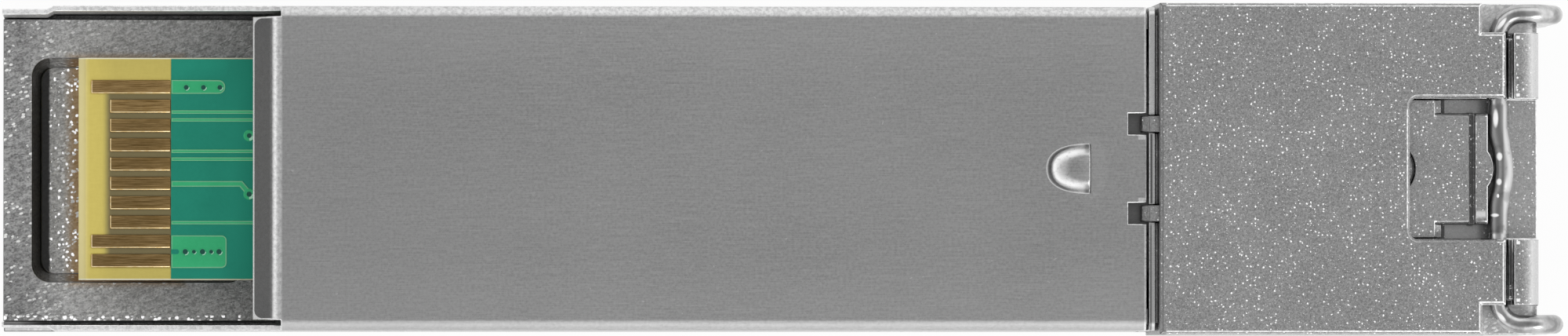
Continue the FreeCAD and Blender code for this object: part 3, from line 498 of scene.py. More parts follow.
def front_ledge(look):
    """The ledge ahead of the bail's crank."""
    return look.along(*FRONT_LEDGE) * look.outward(2.95, 2.85)


def rear_bay(look):
    """The open bay round the board's edge, behind the cover's lip."""
    return look.upward(5.0, 4.0) * look.onward(*BAY_END)


def slider_well(look):
    """The slots beside the slider's tongue."""
    return look.along(*SLIDER_SLOTS, 0.3) * look.outward(3.0, 2.9) * look.upward(8.4, 8.2)


def slider_shades(look):
    """Painted shade behind the slider's lip, before its step, behind the knuckles and round the ejector
    mark.
    """
    groove = look.along(*TONGUE_GROOVE, 0.04) * look.outward(2.4, 2.3)
    before_step = look.along(59.6, 59.8, 0.05) + look.along(61.4, 61.8, 0.3) * 0.6
    before_step = before_step * look.band(look.across, 2.2, 3.0, 0.05)
    channel = look.along(*KNUCKLE_CHANNEL, 0.03) * look.band(look.across, *KNUCKLE_ACROSS, 0.05)
    shades = (groove * look.upward(8.68, 8.6)).larger(before_step * look.upward(8.1, 7.9))
    return shades.larger(channel * look.upward(8.65, 8.45)).larger(mark_shade(look))


def mark_shade(look):
    """The shaded front of the round, sunk ejector mark."""
    out_x = look.x - EJECTOR_MARK
    reach = out_x * out_x + look.y * look.y
    ring = look.fade(reach, 1.15, 1.22) * look.fade(reach, 1.5, 1.46)
    return ring * look.fade(out_x, 0.9, 0.95) * look.upward(8.9, 8.8)


def bail_corner(look):
    """The open corners of the nose round the bail's elbows."""
    return look.along(*BAIL_CORNERS, 0.1) * look.outward(5.5, 5.7) * look.band(look.z, 7.65, 7.8, 0.1)


def knuckle_round(look):
    """The smooth rounded fronts of the two knuckles."""
    face = look.onward(*KNUCKLE_FRONT) * look.upward(7.0, 7.2)
    return face * look.outward(2.9, 3.0) * look.outward(5.7, 5.6)


def knuckle_end_highlights(look):
    """Painted highlights at both ends of each knuckle's rear edge."""
    ends = look.band(look.across, 3.02, 3.1, 0.05).larger(look.band(look.across, 5.4, 5.48, 0.05))
    return ends * look.along(*KNUCKLE_CORNERS, 0.05)


def near_edge_row(look):
    """A row of bright leaning flecks along the near edge of the rear bay."""
    row = look.band(look.y, -6.4, -6.08, 0.05) * look.upward(3.1, 3.2)
    return row * rear_bay(look) * (0.95 - 0.7 * look.onward(7.0, 10.0))


def near_sill_painted_light(look):
    """Painted light on the sill in the shade under the jogged rear end of the near skirt."""
    sill = look.along(0.06, 1.95, 0.05) * look.fade(look.y, -6.5, -6.54)
    return sill * look.band(look.z, 0.78, 0.85, 0.02)


def painted_sparkle_spread(look):
    """Where the painted sparkles stand close: along the rear bay's edges and in patches."""
    near = look.fade(look.y, -5.75, -5.95) * 1.5 + look.fade(look.y, 5.95, 6.05) * 0.8
    near = near.larger(look.band(look.y, -4.95, -4.75, 0.1) * look.along(1.9, 4.5, 0.3) * 1.2)
    patch = look.fade(look.noise(0.9, 2.0), 0.42, 0.58)
    spread = near.larger(patch * (0.3 + 0.7 * look.onward(4.5, 2.5)))
    return spread * rear_bay(look).larger(bail_corner(look))


def painted_board_bounce(look):
    """Painted bounce light: the warm tint that the bare board throws on the casting round it."""
    start = (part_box("circuit_board")[0][0] - cad_box[0][0]) / MM
    bare_length = 3.9
    half_width = 4.6
    out_x = (look.x - (start + bare_length / 2)).size() - bare_length / 2
    out_y = (look.across - half_width) * 2.0
    glow = look.fade(out_x.larger(out_y), 0.75, 0.1) * look.upward(5.0, 4.0)
    return glow * (0.72 - 0.27 * look.fade(out_y, -0.1, 0.1))


def pocket_wall_painted_shade(look):
    """Painted shade on the smooth rear wall of the pocket below the contacts and on the foot of that wall.
    """
    into = look.x - POCKET_WALL
    ragged = into - look.noise(5.0, 3.0, 0.6) * 0.1
    band = look.fade(into, -0.02, 0.02) * look.fade(ragged, 0.68, 0.6)
    below = look.upward(3.25, 3.22) * look.upward(0.6, 0.8)
    return band * below * look.outward(4.7, 4.6)


def pocket_floor(look):
    """The floor of the pocket below the contacts, its flecks closest near the board."""
    floor = look.upward(2.6, 2.4) * look.upward(0.6, 0.8)
    floor = floor * look.along(1.9, 3.6, 0.1) * look.outward(4.6, 4.5)
    return floor * (0.2 + 0.4 * look.onward(1.9, 2.5))


def brushed_sheet_finish(name, shade):
    """Sheet steel brushed along the module; shade adds the tones of one piece."""
    look = Look(name)
    streaks = look.noise(1.0, 4.0, 0.7, look.stretched(0.35, 26.0, 26.0))
    fine = look.noise(1.0, 3.0, 0.7, look.stretched(1.6, 60.0, 60.0))
    grain = look.noise(8.0, 4.0, 0.7)
    cloud = look.noise(0.12, 1.0)
    tone = look.fade(streaks * 0.27 + fine * 0.33 + grain * 0.4, 0.32, 0.68)
    grey = look.layered(look.mix(tone, 0.36, 0.57), (look.fade(cloud, 0.3, 0.7) * 0.18, 0.62),
                        (look.specks(1.1, 0.045) * 0.5, 0.85))
    grey, dull = shade(look, grey)
    height = streaks * 0.4 + fine * 0.4 + grain * 0.2
    return look.surface({"Base Color": grey, "Metallic": 1.0, "Roughness": 0.24 + 0.1 * tone + dull,
                         "Normal": look.bump(height, 0.16, 0.012)})


def bright_sheet_edge_finish():
    """The sheared and tumbled edge of the sheet."""
    look = Look("bright_sheet_edge")
    wear = look.noise(8.0, 3.0, 0.6)
    grey = look.mix(look.fade(wear, 0.3, 0.65), 0.6, 0.95)
    grey = look.mix(skirt_seam(look), grey, 0.03)
    return look.surface({"Base Color": grey, "Metallic": 1.0, "Roughness": 0.24 + 0.14 * wear,
                         "Normal": look.bump(wear, 0.15, 0.01)})


def cover_tones_and_painted_light(look, grey):
    """Painted highlights on the bends along the cover and on the rear lip's bend, painted shade on the lip's
    face with a painted highlight round its rim, paler front rims, the skirt's seam and the boss.
    """
    grain = look.fade(look.noise(7.0, 4.0, 0.7), 0.35, 0.62)
    bends = look.outward(6.22, 6.36) * look.upward(7.2, 7.6)
    # painted highlight on the bends, stronger on the far side
    pale = bends * (0.2 + 0.8 * look.fade(look.y, -1.0, 1.0)) * (0.2 + 0.5 * grain)
    fold = look.onward(*LIP_FOLD) * look.upward(7.0, 7.2) * (0.4 + 0.6 * grain)
    face = lip_face_painted_shade(look)
    grey = look.layered(
        grey,
        (look.outward(3.0, 6.3) * 0.1, 0.9),
        (pale.larger(fold), 0.95),
        (look.along(8.0, 14.0, 12.0) * 0.1, 0.25),
        # painted shade on the lip's face, and a painted highlight on its rim
        (face * 0.92, 0.13),
        (face * lip_rim_highlight(look), 0.95),
        (front_rims(look) * (0.45 + 0.55 * grain), 0.95),
        (skirt_seam(look), 0.03))
    return boss_painted_light_and_shade(look, grey), bends * 0.25


def lip_face_painted_shade(look):
    """The face of the folded rear lip, where shade is painted."""
    return look.onward(*LIP_FACE) * look.upward(7.0, 7.2) * look.outward(6.4, 6.38)


def lip_rim_highlight(look):
    """A painted highlight on the rim round the lip's face, with rounded corners."""
    corner_x = (LIP_CORNER - look.x).larger(0.0)
    corner_y = (look.across - LIP_CORNER_ACROSS).larger(0.0)
    return look.fade(corner_x * corner_x + corner_y * corner_y, 0.095, 0.115)


def front_rims(look):
    """The paler front edge of the cover and the rims of its two notches."""
    front = look.onward(*COVER_FRONT) * look.outward(2.2, 2.4)
    inner, outer = (look.band(look.across, *rim, 0.03) for rim in NOTCH_RIMS_ACROSS)
    return front.larger(inner.larger(outer) * look.along(*NOTCH_ENDS, 0.06))


def skirt_seam(look):
    """The dark seam between the jogged rear end of the near skirt and the casting, fainter at the end."""
    seam = look.along(*SKIRT_JOG) * (0.78 + 0.22 * look.onward(0.4, 1.8))
    return seam * look.band(look.y, -6.47, -6.3, 0.02) * look.upward(7.9, 8.0)


def boss_painted_light_and_shade(look, grey):
    """The drawn boss: painted shade on its rear flank and before its front, a painted highlight on its
    shoulder and painted light round it.
    """
    out_x = (LATCH_SHOULDER - look.x) * (1 / BOSS_LENGTH)
    out_y = look.y * (1 / BOSS_HALF)
    reach = out_x.size() ** BOSS_BLUNTNESS + out_y.size() ** BOSS_BLUNTNESS
    on_boss = look.upward(8.5, 8.52) * look.fade(reach, 1.1, 1.0) * look.fade(out_x, -0.05, 0.0)
    flank = look.band(reach, 0.78, 0.9, 0.07) * look.fade(out_x, 0.2, 0.6)
    corner = look.fade(out_x, 0.18, 0.06) * look.band(out_y.size(), 0.68, 0.95, 0.1)
    shoulder = look.band(reach, 0.3, 0.62, 0.16) * look.fade(look.noise(5.0, 3.0, 0.6), 0.2, 0.5)
    shoulder = shoulder * (0.2 + 0.8 * look.fade(out_x, 0.04, 0.42))
    foot = look.along(LATCH_SHOULDER, LATCH_SHOULDER + 0.05, 0.02) * look.fade(out_y.size(), 1.0, 0.95)
    ahead = (out_x * -3.0).larger(0.0)
    halo = look.fade(ahead * ahead + out_y * out_y, 2.2, 1.0) * look.fade(out_x, 0.4, 0.0)
    halo = halo * look.upward(7.9, 8.1)
    # painted shade on the flank and foot, painted highlight on the shoulder
    dull = (on_boss * flank.larger(corner)).larger(foot)
    return look.layered(grey, (halo * 0.1, 0.9), (dull * 0.75, 0.1), (on_boss * shoulder * 0.75, 0.9))


def strip_tones(look, grey):
    """The shield strip: a dark line between the notches, and a shaded rear half along the near side."""
    line = look.along(*STRIP_LINE, 0.015) * look.outward(1.5, 1.4)
    shaded = look.along(*STRIP_SHADE, 0.03) * look.fade(look.y, -2.2, -2.4)
    return look.layered(grey, (0.45, 0.9), (line.larger(shaded * 0.8) * 0.85, 0.08)), 0.0


def flange_painted_shade(look, grey):
    """Painted shade darkening the tin of the shield's flange."""
    return look.mix(0.42, grey, 0.03), 0.1


def drawn_wire_finish():
    """Polished drawn wire with die lines, handling marks, a duller, dented crank whose front side is painted
    lighter as a painted reflection, and painted highlights.
    """
    look = Look("polished_drawn_wire")
    marks = look.noise(1.3, 3.0, 0.6)
    lines = look.noise(1.0, 2.0, 0.6, look.stretched(18.0, 2.0, 18.0))
    crank = look.outward(2.75, 2.6)
    glints = painted_wire_highlights(look)
    grey = look.layered(
        look.mix(look.fade(marks, 0.3, 0.7), 0.3, 0.6),
        # the crank is darker, and its front side is painted lighter as a painted reflection
        (crank, look.mix(look.onward(*CRANK_FRONT), 0.25, 0.6)),
        (crank * look.fade(marks, 0.5, 0.7) * 0.4, 0.06),
        # white painted highlights on the crank and elbows
        (glints, 1.0))
    return look.surface({"Base Color": grey, "Metallic": 1.0 - glints,
                         "Roughness": 0.1 + 0.12 * marks + 0.2 * crank,
                         "Normal": look.bump(marks * 0.7 + lines * 0.3, 0.16, 0.03)})


def painted_wire_highlights(look):
    """Painted highlights on the bail's crank and elbows, between the dents."""
    spots = None
    for along, across, half_length, half_width, turn in PAINTED_WIRE_HIGHLIGHTS:
        out_x = look.x - along
        out_y = look.y - across
        long_way = (out_x * math.cos(turn) + out_y * math.sin(turn)) * (1 / half_length)
        wide_way = (out_y * math.cos(turn) - out_x * math.sin(turn)) * (1 / half_width)
        spot = look.fade(long_way * long_way + wide_way * wide_way, 1.6, 0.3)
        spots = spots.larger(spot) if spots else spot
    return spots * look.upward(8.2, 8.4)


def bare_laminate_finish():
    """Yellow glass laminate, browner between the contacts and pale at the bevelled edge."""
    look = Look("bare_yellow_laminate")
    from_edge = look.x - (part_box("circuit_board")[0][0] - cad_box[0][0]) / MM
    weave = look.noise(1.0, 2.0, 0.5, look.stretched(3.0, 9.0, 3.0))
    cross = look.noise(1.0, 2.0, 0.5, look.stretched(9.0, 3.0, 3.0))
    cloth = look.fade(weave * 0.5 + cross * 0.5, 0.3, 0.7)
    field = look.fade(look.y, 3.25, 3.05) * look.fade(look.y, -4.15, -3.95)
    yellow = look.layered(
        look.mix(cloth, (0.59, 0.48, 0.105), (0.62, 0.51, 0.115)),
        (look.fade(from_edge, 0.95, 1.35) * field * 0.9, (0.12, 0.095, 0.045)),
        (look.fade(from_edge, 0.6, 1.6) * 0.12, (0.05, 0.04, 0.02)),
        (look.fade(from_edge, 0.5, 0.1) * 0.5, (0.86, 0.78, 0.46)),
        (look.outward(4.53, 4.57) * 0.75, (0.85, 0.85, 0.7)))
    return look.surface({"Base Color": yellow, "Roughness": 0.5, "Coat Weight": 0.08 + 0.1 * cloth,
                         "Normal": look.bump(weave + cross, 0.15, 0.01)})


def solder_mask_finish(name, dark, light):
    """Glossy green mask with a fine mottle, with painted light lifting it towards the cover against the
    lip's shadow, and paler along both long edges.
    """
    look = Look(name)
    mottle = look.noise(7.0, 4.0, 0.6)
    cloud = look.noise(0.6, 2.0)
    share = look.fade(mottle * 0.4 + cloud * 0.6, 0.1, 0.9)
    # painted light towards the cover against the lip's shadow; paler along both long edges
    clean = (look.onward(8.8, 10.4) * 0.6).larger(look.outward(3.4, 4.4) * 0.25)
    green = look.mix(clean, look.mix(share, dark, light), [1.5 * part for part in light])
    return look.surface({"Base Color": green, "Roughness": 0.34 + 0.14 * mottle,
                         "Specular IOR Level": 0.22, "Coat Weight": 0.03 + 0.05 * cloud,
                         "Normal": look.bump(mottle, 0.1, 0.008)})


def scuffed_gold_finish():
    """Gold plate with lengthwise scratches from plugging in."""
    look = Look("scuffed_gold_plate")
    scratches = look.noise(1.0, 4.0, 0.75, look.stretched(0.7, 34.0, 10.0))
    wear = look.noise(1.4, 3.0)
    brown = look.layered(
        look.mix(look.fade(scratches, 0.36, 0.66), (0.17, 0.1, 0.03), (0.5, 0.34, 0.15)),
        (look.fade(wear, 0.45, 0.75) * 0.4, (0.26, 0.16, 0.05)),
        (look.fade(look.y, 2.5, 1.6) * 0.24, 0.0))
    return look.surface({"Base Color": brown, "Metallic": 1.0, "Roughness": 0.3 + 0.2 * scratches,
                         "Normal": look.bump(scratches, 0.2, 0.008)})


def gold_edge_painted_highlight_finish():
    """Painted highlight on the plated edges of a contact that face the light."""
    look = Look("gold_edge_painted_highlight")
    wear = look.noise(4.0, 3.0)
    gold = look.mix(look.fade(wear, 0.35, 0.65), (0.82, 0.62, 0.3), (0.95, 0.8, 0.5))
    return look.surface({"Base Color": gold, "Metallic": 1.0, "Roughness": 0.25 + 0.15 * wear})


def moulded_black_finish():
    """Black moulding compound with a fine grain."""
    look = Look("black_moulding")
    grain = look.noise(12.0, 4.0, 0.7)
    black = look.mix(grain, (0.012, 0.012, 0.013), (0.035, 0.035, 0.036))
    return look.surface({"Base Color": black, "Roughness": 0.5 + 0.2 * grain,
                         "Normal": look.bump(grain, 0.3, 0.02)})


def ferrite_finish():
    """Dark sintered ferrite."""
    look = Look("sintered_ferrite")
    grain = look.noise(9.0, 5.0, 0.7)
    dark = look.mix(grain, (0.035, 0.036, 0.04), (0.085, 0.085, 0.09))
    return look.surface({"Base Color": dark, "Roughness": 0.4 + 0.25 * grain,
                         "Normal": look.bump(grain, 0.3, 0.02)})


def capacitor_finish():
    """Tan capacitor ceramic."""
    look = Look("capacitor_ceramic")
    grain = look.noise(14.0, 4.0)
    tan = look.mix(grain, (0.3, 0.21, 0.13), (0.46, 0.35, 0.24))
    return look.surface({"Base Color": tan, "Roughness": 0.38 + 0.2 * grain,
                         "Normal": look.bump(grain, 0.15, 0.01)})


def white_ceramic_finish():
    """Polished white sleeve ceramic."""
    look = Look("polished_white_ceramic")
    cloud = look.noise(2.0, 3.0)
    white = look.mix(cloud, (0.8, 0.79, 0.75), (0.9, 0.9, 0.87))
    return look.surface({"Base Color": white, "Roughness": 0.12 + 0.1 * cloud, "Coat Weight": 0.3 * cloud})


def gold_can_finish():
    """Gold plated can with turning lines."""
    look = Look("gold_plated_can")
    lines = look.noise(1.0, 3.0, 0.6, look.stretched(30.0, 1.0, 1.0))
    gold = look.mix(look.fade(lines, 0.3, 0.7), (0.68, 0.5, 0.2), (0.85, 0.68, 0.34))
    return look.surface({"Base Color": gold, "Metallic": 1.0, "Roughness": 0.22 + 0.15 * lines})


def amber_film_finish():
    """Amber flexible film over copper runs."""
    look = Look("amber_film")
    cloud = look.noise(3.0, 3.0)
    amber = look.mix(cloud, (0.42, 0.19, 0.03), (0.58, 0.3, 0.07))
    return look.surface({"Base Color": amber, "Roughness": 0.3 + 0.15 * cloud, "Coat Weight": 0.3 * cloud})


def turned_steel_finish():
    """Turned stainless steel with fine rings."""
    look = Look("turned_steel")
    rings = look.noise(1.0, 3.0, 0.6, look.stretched(24.0, 0.6, 0.6))
    grey = look.mix(look.fade(rings, 0.3, 0.7), (0.52, 0.52, 0.53), 0.68)
    return look.surface({"Base Color": grey, "Metallic": 1.0, "Roughness": 0.2 + 0.15 * rings,
                         "Normal": look.bump(rings, 0.1, 0.01)})


def pale_floor_finish():
    """A white table top that keeps a soft shadow."""
    look = Look("white_table")
    pale = look.mix(look.noise(0.02, 2.0), 0.93, 0.95)
    paper = look.node("BsdfDiffuse", None, {"Color": pale})
    glow = look.node("Emission", None, {"Color": (1.0, 1.0, 1.0, 1.0), "Strength": 1.0})
    seen = [look.node("LightPath", None, None, ray)
            for ray in ("Is Camera Ray", "Is Glossy Ray", "Is Transmission Ray")]
    share = seen[0].larger(seen[1]).larger(seen[2]) * 0.94
    both = look.node("MixShader", None, {0: share, 1: paper, 2: glow})
    look.node("OutputMaterial", None, {"Surface": both})
    return look.material


def placed(name, data):
    """An object in the scene that holds a mesh, a lamp or a lens."""
    made = bpy.data.objects.new(name, data)
    bpy.context.scene.collection.objects.link(made)
    return made


def mesh_object(name, work, finishes):
    """Turns a bmesh into an object with its finishes."""
    mesh = bpy.data.meshes.new(name)
    work.to_mesh(mesh)
    work.free()
    for finish in finishes:
        mesh.materials.append(finish)
    return placed(name, mesh)


def finished_object(name, work, finishes, body):
    """Turns a bmesh into a smooth piece with its finishes, riding on a body."""
    piece = mesh_object(name, work, finishes)
    piece.data.shade_smooth()
    piece.data.set_sharp_from_angle(angle=SMOOTH_ANGLE)
    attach(piece, body)
    return piece


def merged_copy(node):
    """A bmesh of a CAD node with its loose triangles joined into clean faces."""
    work = bmesh.new()
    work.from_mesh(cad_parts[node].data)
    bmesh.ops.remove_doubles(work, verts=work.verts, dist=SAME_PLACE)
    bmesh.ops.dissolve_limit(work, angle_limit=FLAT_ANGLE, verts=work.verts, edges=work.edges)
    return work


def dressed_node(work, node, name, finishes, body, edge=None):
    """A worked-over copy of a CAD node that stands for it, with its sharp edges broken and bright."""
    for face in work.faces:
        face.material_index = 0
    piece = finished_object(name, work, finishes, body)
    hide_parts(node)
    if edge:
        rounding = piece.modifiers.new("edge_break", "BEVEL")
        rounding.width = edge * MM
        rounding.segments = 2
        rounding.limit_method = "ANGLE"
        rounding.angle_limit = SHARP_ANGLE
        rounding.material = 1
        rounding.use_clamp_overlap = False
    evenly = piece.modifiers.new("flats_stay_flat", "WEIGHTED_NORMAL")
    evenly.keep_sharp = True
    evenly.weight = 100


def cuboid(work, low, high):
    """Adds a box between two corners, in metres."""
    size = [b - a for a, b in zip(low, high)]
    middle = [(a + b) / 2 for a, b in zip(low, high)]
    place = Matrix.Translation(middle) @ Matrix.Diagonal((*size, 1.0))
    return bmesh.ops.create_cube(work, size=1.0, matrix=place)["verts"]


def break_edges(work, edges, offset, segments):
    """Rounds edges by an offset in metres."""
    bmesh.ops.bevel(work, geom=edges, offset=offset, offset_type="OFFSET", affect="EDGES",
                    segments=segments, profile=0.5, material=-1)


def contact_row(name, node, first, long_ones, finishes):
    """A row of plated contacts whose edges towards the rear end and the near side carry a painted highlight.
    """
    low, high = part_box(node)
    end = high[0]
    work = bmesh.new()
    for index in range(CONTACTS):
        length = CONTACT_LONG if index in long_ones else CONTACT_SHORT
        y = (first - index * CONTACT_PITCH) * MM
        half = CONTACT_WIDTH / 2 * MM
        cuboid(work, (end - length * MM, y - half, low[2]), (end, y + half, high[2]))
    break_edges(work, work.edges[:], CONTACT_EDGE * MM, 2)
    for face in work.faces:
        # painted highlight: only edges facing the rear end and the near side take the bright gold
        face.material_index = 1 if min(face.normal.x, face.normal.y) < -LIT_EDGE_SLOPE else 0
    piece = finished_object(name, work, finishes, "module")
    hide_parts(node)


def rounded_plate(work, along, across, level, thick, round_far):
    """Adds a thin plate whose far corners are rounded."""
    verts = cuboid(work, (from_rear(along[0]), across[0] * MM, level),
                   (from_rear(along[1]), across[1] * MM, level + thick))
    far = from_rear(along[1])
    corners = {edge for vert in verts for edge in vert.link_edges
               if all(abs(end.co.x - far) < SAME_PLACE for end in edge.verts)
               and abs(edge.verts[0].co.z - edge.verts[1].co.z) > SAME_PLACE}
    break_edges(work, list(corners), round_far * MM, PAD_CORNER_STEPS)


def run_of_copper(work, places, width, level, thick):
    """Adds a run of copper through places from the rear end and across, mitred where it bends."""
    points = [Vector((from_rear(along), across * MM)) for along, across in places]
    runs = [(end - start).normalized() for start, end in zip(points, points[1:])]
    left, right = [], []
    for point, before, after in zip(points, runs[:1] + runs, runs + runs[-1:]):
        half = width / 2 * MM / math.cos(before.angle(after) / 2)
        mitre = (before + after).normalized().orthogonal() * half
        left.append(bmesh.ops.create_vert(work, co=(*(point + mitre), level))["vert"][0])
        right.append(bmesh.ops.create_vert(work, co=(*(point - mitre), level))["vert"][0])
    for a, b, c, d in zip(right, right[1:], left[1:], left):
        work.faces.new((a, b, c, d))
    foot = list({face for vert in left for face in vert.link_faces})
    top = bmesh.ops.extrude_face_region(work, geom=foot, use_keep_orig=True)["geom"]
    bmesh.ops.translate(work, verts=[part for part in top if isinstance(part, bmesh.types.BMVert)],
                        vec=(0.0, 0.0, thick))
    bmesh.ops.reverse_faces(work, faces=foot)
    bmesh.ops.dissolve_faces(work, faces=[part for part in top if isinstance(part, bmesh.types.BMFace)])


def covered_copper(finishes):
    """The pads and traces that stand up under the solder mask, with a paler outline."""
    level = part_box("solder_mask_underside")[1][2]
    thick = COPPER_THICK * MM
    work = bmesh.new()
    rounded_plate(work, SINGLE_PAD[:2], SINGLE_PAD[2:], level, thick, SINGLE_PAD_ROUND)
    rounded_plate(work, PAIR_PAD[:2], PAIR_PAD[2:], level, thick, PAIR_PAD_ROUND)
    for y in TRACE_LINES:
        run_of_copper(work, ((COPPER_START, y), (TRACE_END, y)), TRACE_WIDTH, level, thick)
    run_of_copper(work, WIDE_TRACE, WIDE_TRACE_WIDTH, level, thick)
    top = [edge for edge in work.edges if all(vert.co.z > level + thick / 2 for vert in edge.verts)]
    break_edges(work, top, COPPER_EDGE * MM, 1)
    work.normal_update()
    flats = [face for face in work.faces if face.normal.z > FACING_UP]
    outline = bmesh.ops.inset_individual(work, faces=flats, thickness=COPPER_OUTLINE * MM)["faces"]
    for face in outline:
        face.material_index = 1
    finished_object("covered_copper", work, finishes, "module")


def pad_slot(finish):
    """The short slot in the copper of the paired pad."""
    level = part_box("solder_mask_underside")[1][2] + COPPER_THICK * MM
    work = bmesh.new()
    rounded_plate(work, PAD_SLOT[:2], PAD_SLOT[2:], level - PAD_SLOT_SUNK * MM, PAD_SLOT_THICK * MM,
                  PAD_SLOT_ROUND)
    finished_object("pad_slot", work, [finish], "module")


def via_holes(finishes):
    """Small holes with a raised rim in the covered copper; the dark of their shallow centres is painted
    shade, and part of each rim has a painted highlight.
    """
    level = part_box("solder_mask_underside")[1][2] + COPPER_THICK * MM
    work = bmesh.new()
    for along, across, radius, rim_width in VIAS:
        place = Matrix.Translation((from_rear(along), across * MM, level))
        rim_top = rim_width * VIA_RIM_TOP
        rim = bmesh.ops.create_cone(work, cap_ends=True, segments=VIA_SIDES, depth=VIA_HEIGHT * MM,
                                    radius1=(radius + rim_width) * MM, radius2=(radius + rim_top) * MM,
                                    matrix=place)
        sides = {face for vert in rim["verts"] for face in vert.link_faces}
        top = [face for face in sides if face.normal.z > FACING_UP]
        hole = bmesh.ops.inset_region(work, faces=top, thickness=rim_top * MM, depth=0.0)
        bmesh.ops.translate(work, verts=list({v for face in top for v in face.verts}),
                            vec=(0.0, 0.0, -VIA_SUNK * MM))
        for face in hole["faces"]:
            away = face.calc_center_median() - place.translation
            # painted highlight on the part of each rim that faces the light
            face.material_index = 2 if away.x - away.y > away.xy.length * VIA_GLINT_REACH else 0
        for face in top:
            face.material_index = 1
    finished_object("via_holes", work, finishes, "module")


def paint_nodes(finish, *nodes):
    """Gives CAD nodes that keep their own mesh a finish."""
    for node in nodes:
        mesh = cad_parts[node].data
        mesh.materials.clear()
        mesh.materials.append(finish)


def drawn_boss(work):
    """Gives the cover copy a drawn latch boss: a half dome with a foot, a steep flank and a flat crown."""
    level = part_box("sheet_cover")[1][2] - BOSS_HEIGHT * MM
    proud = [face for face in work.faces if max(vert.co.z for vert in face.verts) > level + SAME_PLACE]
    bmesh.ops.delete(work, geom=proud, context="FACES")
    shoulder = from_rear(LATCH_SHOULDER)
    middle = Matrix.Translation((shoulder, 0.0, level))
    length, half = BOSS_LENGTH, BOSS_HALF
    oval = middle @ Matrix.Diagonal((length * MM, half * MM, 1.0, 1.0))
    rim = bmesh.ops.create_circle(work, cap_ends=True, segments=BOSS_SIDES, radius=1.0, matrix=oval)["verts"]
    for vert in rim:
        out_x, out_y = abs(vert.co.x - shoulder) / (length * MM), abs(vert.co.y) / (half * MM)
        blunt = (out_x ** BOSS_BLUNTNESS + out_y ** BOSS_BLUNTNESS) ** (-1 / BOSS_BLUNTNESS)
        vert.co.x = shoulder + (vert.co.x - shoulder) * blunt
        vert.co.y *= blunt
    crown = rim[0].link_faces[0]
    made = set(rim)
    for run, tilt in BOSS_PROFILE:
        crown = bmesh.ops.extrude_discrete_faces(work, faces=[crown])["faces"][0]
        shrink = ((length - run) / length, (half - run * BOSS_SIDE_RUN) / half, 1.0)
        bmesh.ops.scale(work, vec=shrink, space=middle.inverted(), verts=crown.verts[:])
        rise = run * MM * math.tan(math.radians(tilt))
        bmesh.ops.translate(work, verts=crown.verts[:], vec=(0.0, 0.0, rise))
        made.update(crown.verts)
        length, half = length - run, half - run * BOSS_SIDE_RUN
    top = [vert for vert in crown.verts if vert.co.x < shoulder + SAME_PLACE]
    ahead = [vert for vert in made if vert.co.x > shoulder + SAME_PLACE]
    front = {vert for vert in made if abs(vert.co.x - shoulder) < SAME_PLACE}
    bmesh.ops.delete(work, geom=ahead, context="VERTS")
    bmesh.ops.contextual_create(work, geom=top)
    work.edges.new([vert for vert in front if vert.co.z < level + SAME_PLACE])
    outline = {edge for vert in front for edge in vert.link_edges if edge.other_vert(vert) in front}
    bmesh.ops.contextual_create(work, geom=list(outline))


def shield_flange(finish):
    """The shield's flat flange under the cover's notches."""
    along, half, levels = FLANGE
    work = bmesh.new()
    cuboid(work, (from_rear(along[0]), -half * MM, levels[0] * MM),
           (from_rear(along[1]), half * MM, levels[1] * MM))
    finished_object("shield_flange", work, [finish], "module")


def pinched_wire():
    """A copy of the bail's wire with the shallow dents that bending leaves."""
    work = merged_copy("bail_wire")
    runs = [edge for edge in work.edges if edge.calc_length() > PINCH_SPACING * MM]
    bmesh.ops.subdivide_edges(work, edges=runs, cuts=PINCH_CUTS, use_grid_fill=True)
    bmesh.ops.triangulate(work, faces=[face for face in work.faces if len(face.verts) > 4])
    work.normal_update()
    for vert in work.verts:
        share = min(noise.noise(vert.co * PINCHES_PER_METRE) - SMOOTH_SHARE, 0.0)
        vert.co += vert.normal * (share * PINCH_DEPTH * MM / 2)
        if vert.co.z > WIRE_TOP_HALF * MM:
            vert.co.x -= max(-vert.normal.x, 0.0) * pressed_at(abs(vert.co.y) / MM) * MM
    return work


def pressed_at(across):
    """How far the crank's rear side is pressed out, so far across."""
    start, end = PRESSED_SPAN
    share = min(max((across - start) / (end - start), 0.0), 1.0)
    return PRESSED_DEPTH * math.sin(math.pi * share)


def dress_metalwork():
    """The casting, plate, slider, cover, shield and bail."""
    zinc = [cast_zinc_finish(), zinc_edge_wear_and_painted_highlight_finish()]
    edge = bright_sheet_edge_finish()
    sheet = [brushed_sheet_finish("brushed_sheet_steel", cover_tones_and_painted_light), edge]
    strip = [brushed_sheet_finish("brushed_shield_strip", strip_tones), edge]
    cover = merged_copy("sheet_cover")
    drawn_boss(cover)
    dressed_node(cover, "sheet_cover", "brushed_cover", sheet, "module", COVER_EDGE)
    for node, name, body, edge_break in CAST_PIECES:
        dressed_node(merged_copy(node), node, name, zinc, body, edge_break)
    dressed_node(merged_copy("emi_shield_plate"), "emi_shield_plate", "shield_strip", strip, "module",
                 STRIP_EDGE)
    shield_flange(brushed_sheet_finish("shaded_shield_flange", flange_painted_shade))
    dressed_node(pinched_wire(), "bail_wire", "bail_loop", [drawn_wire_finish()], "bail")


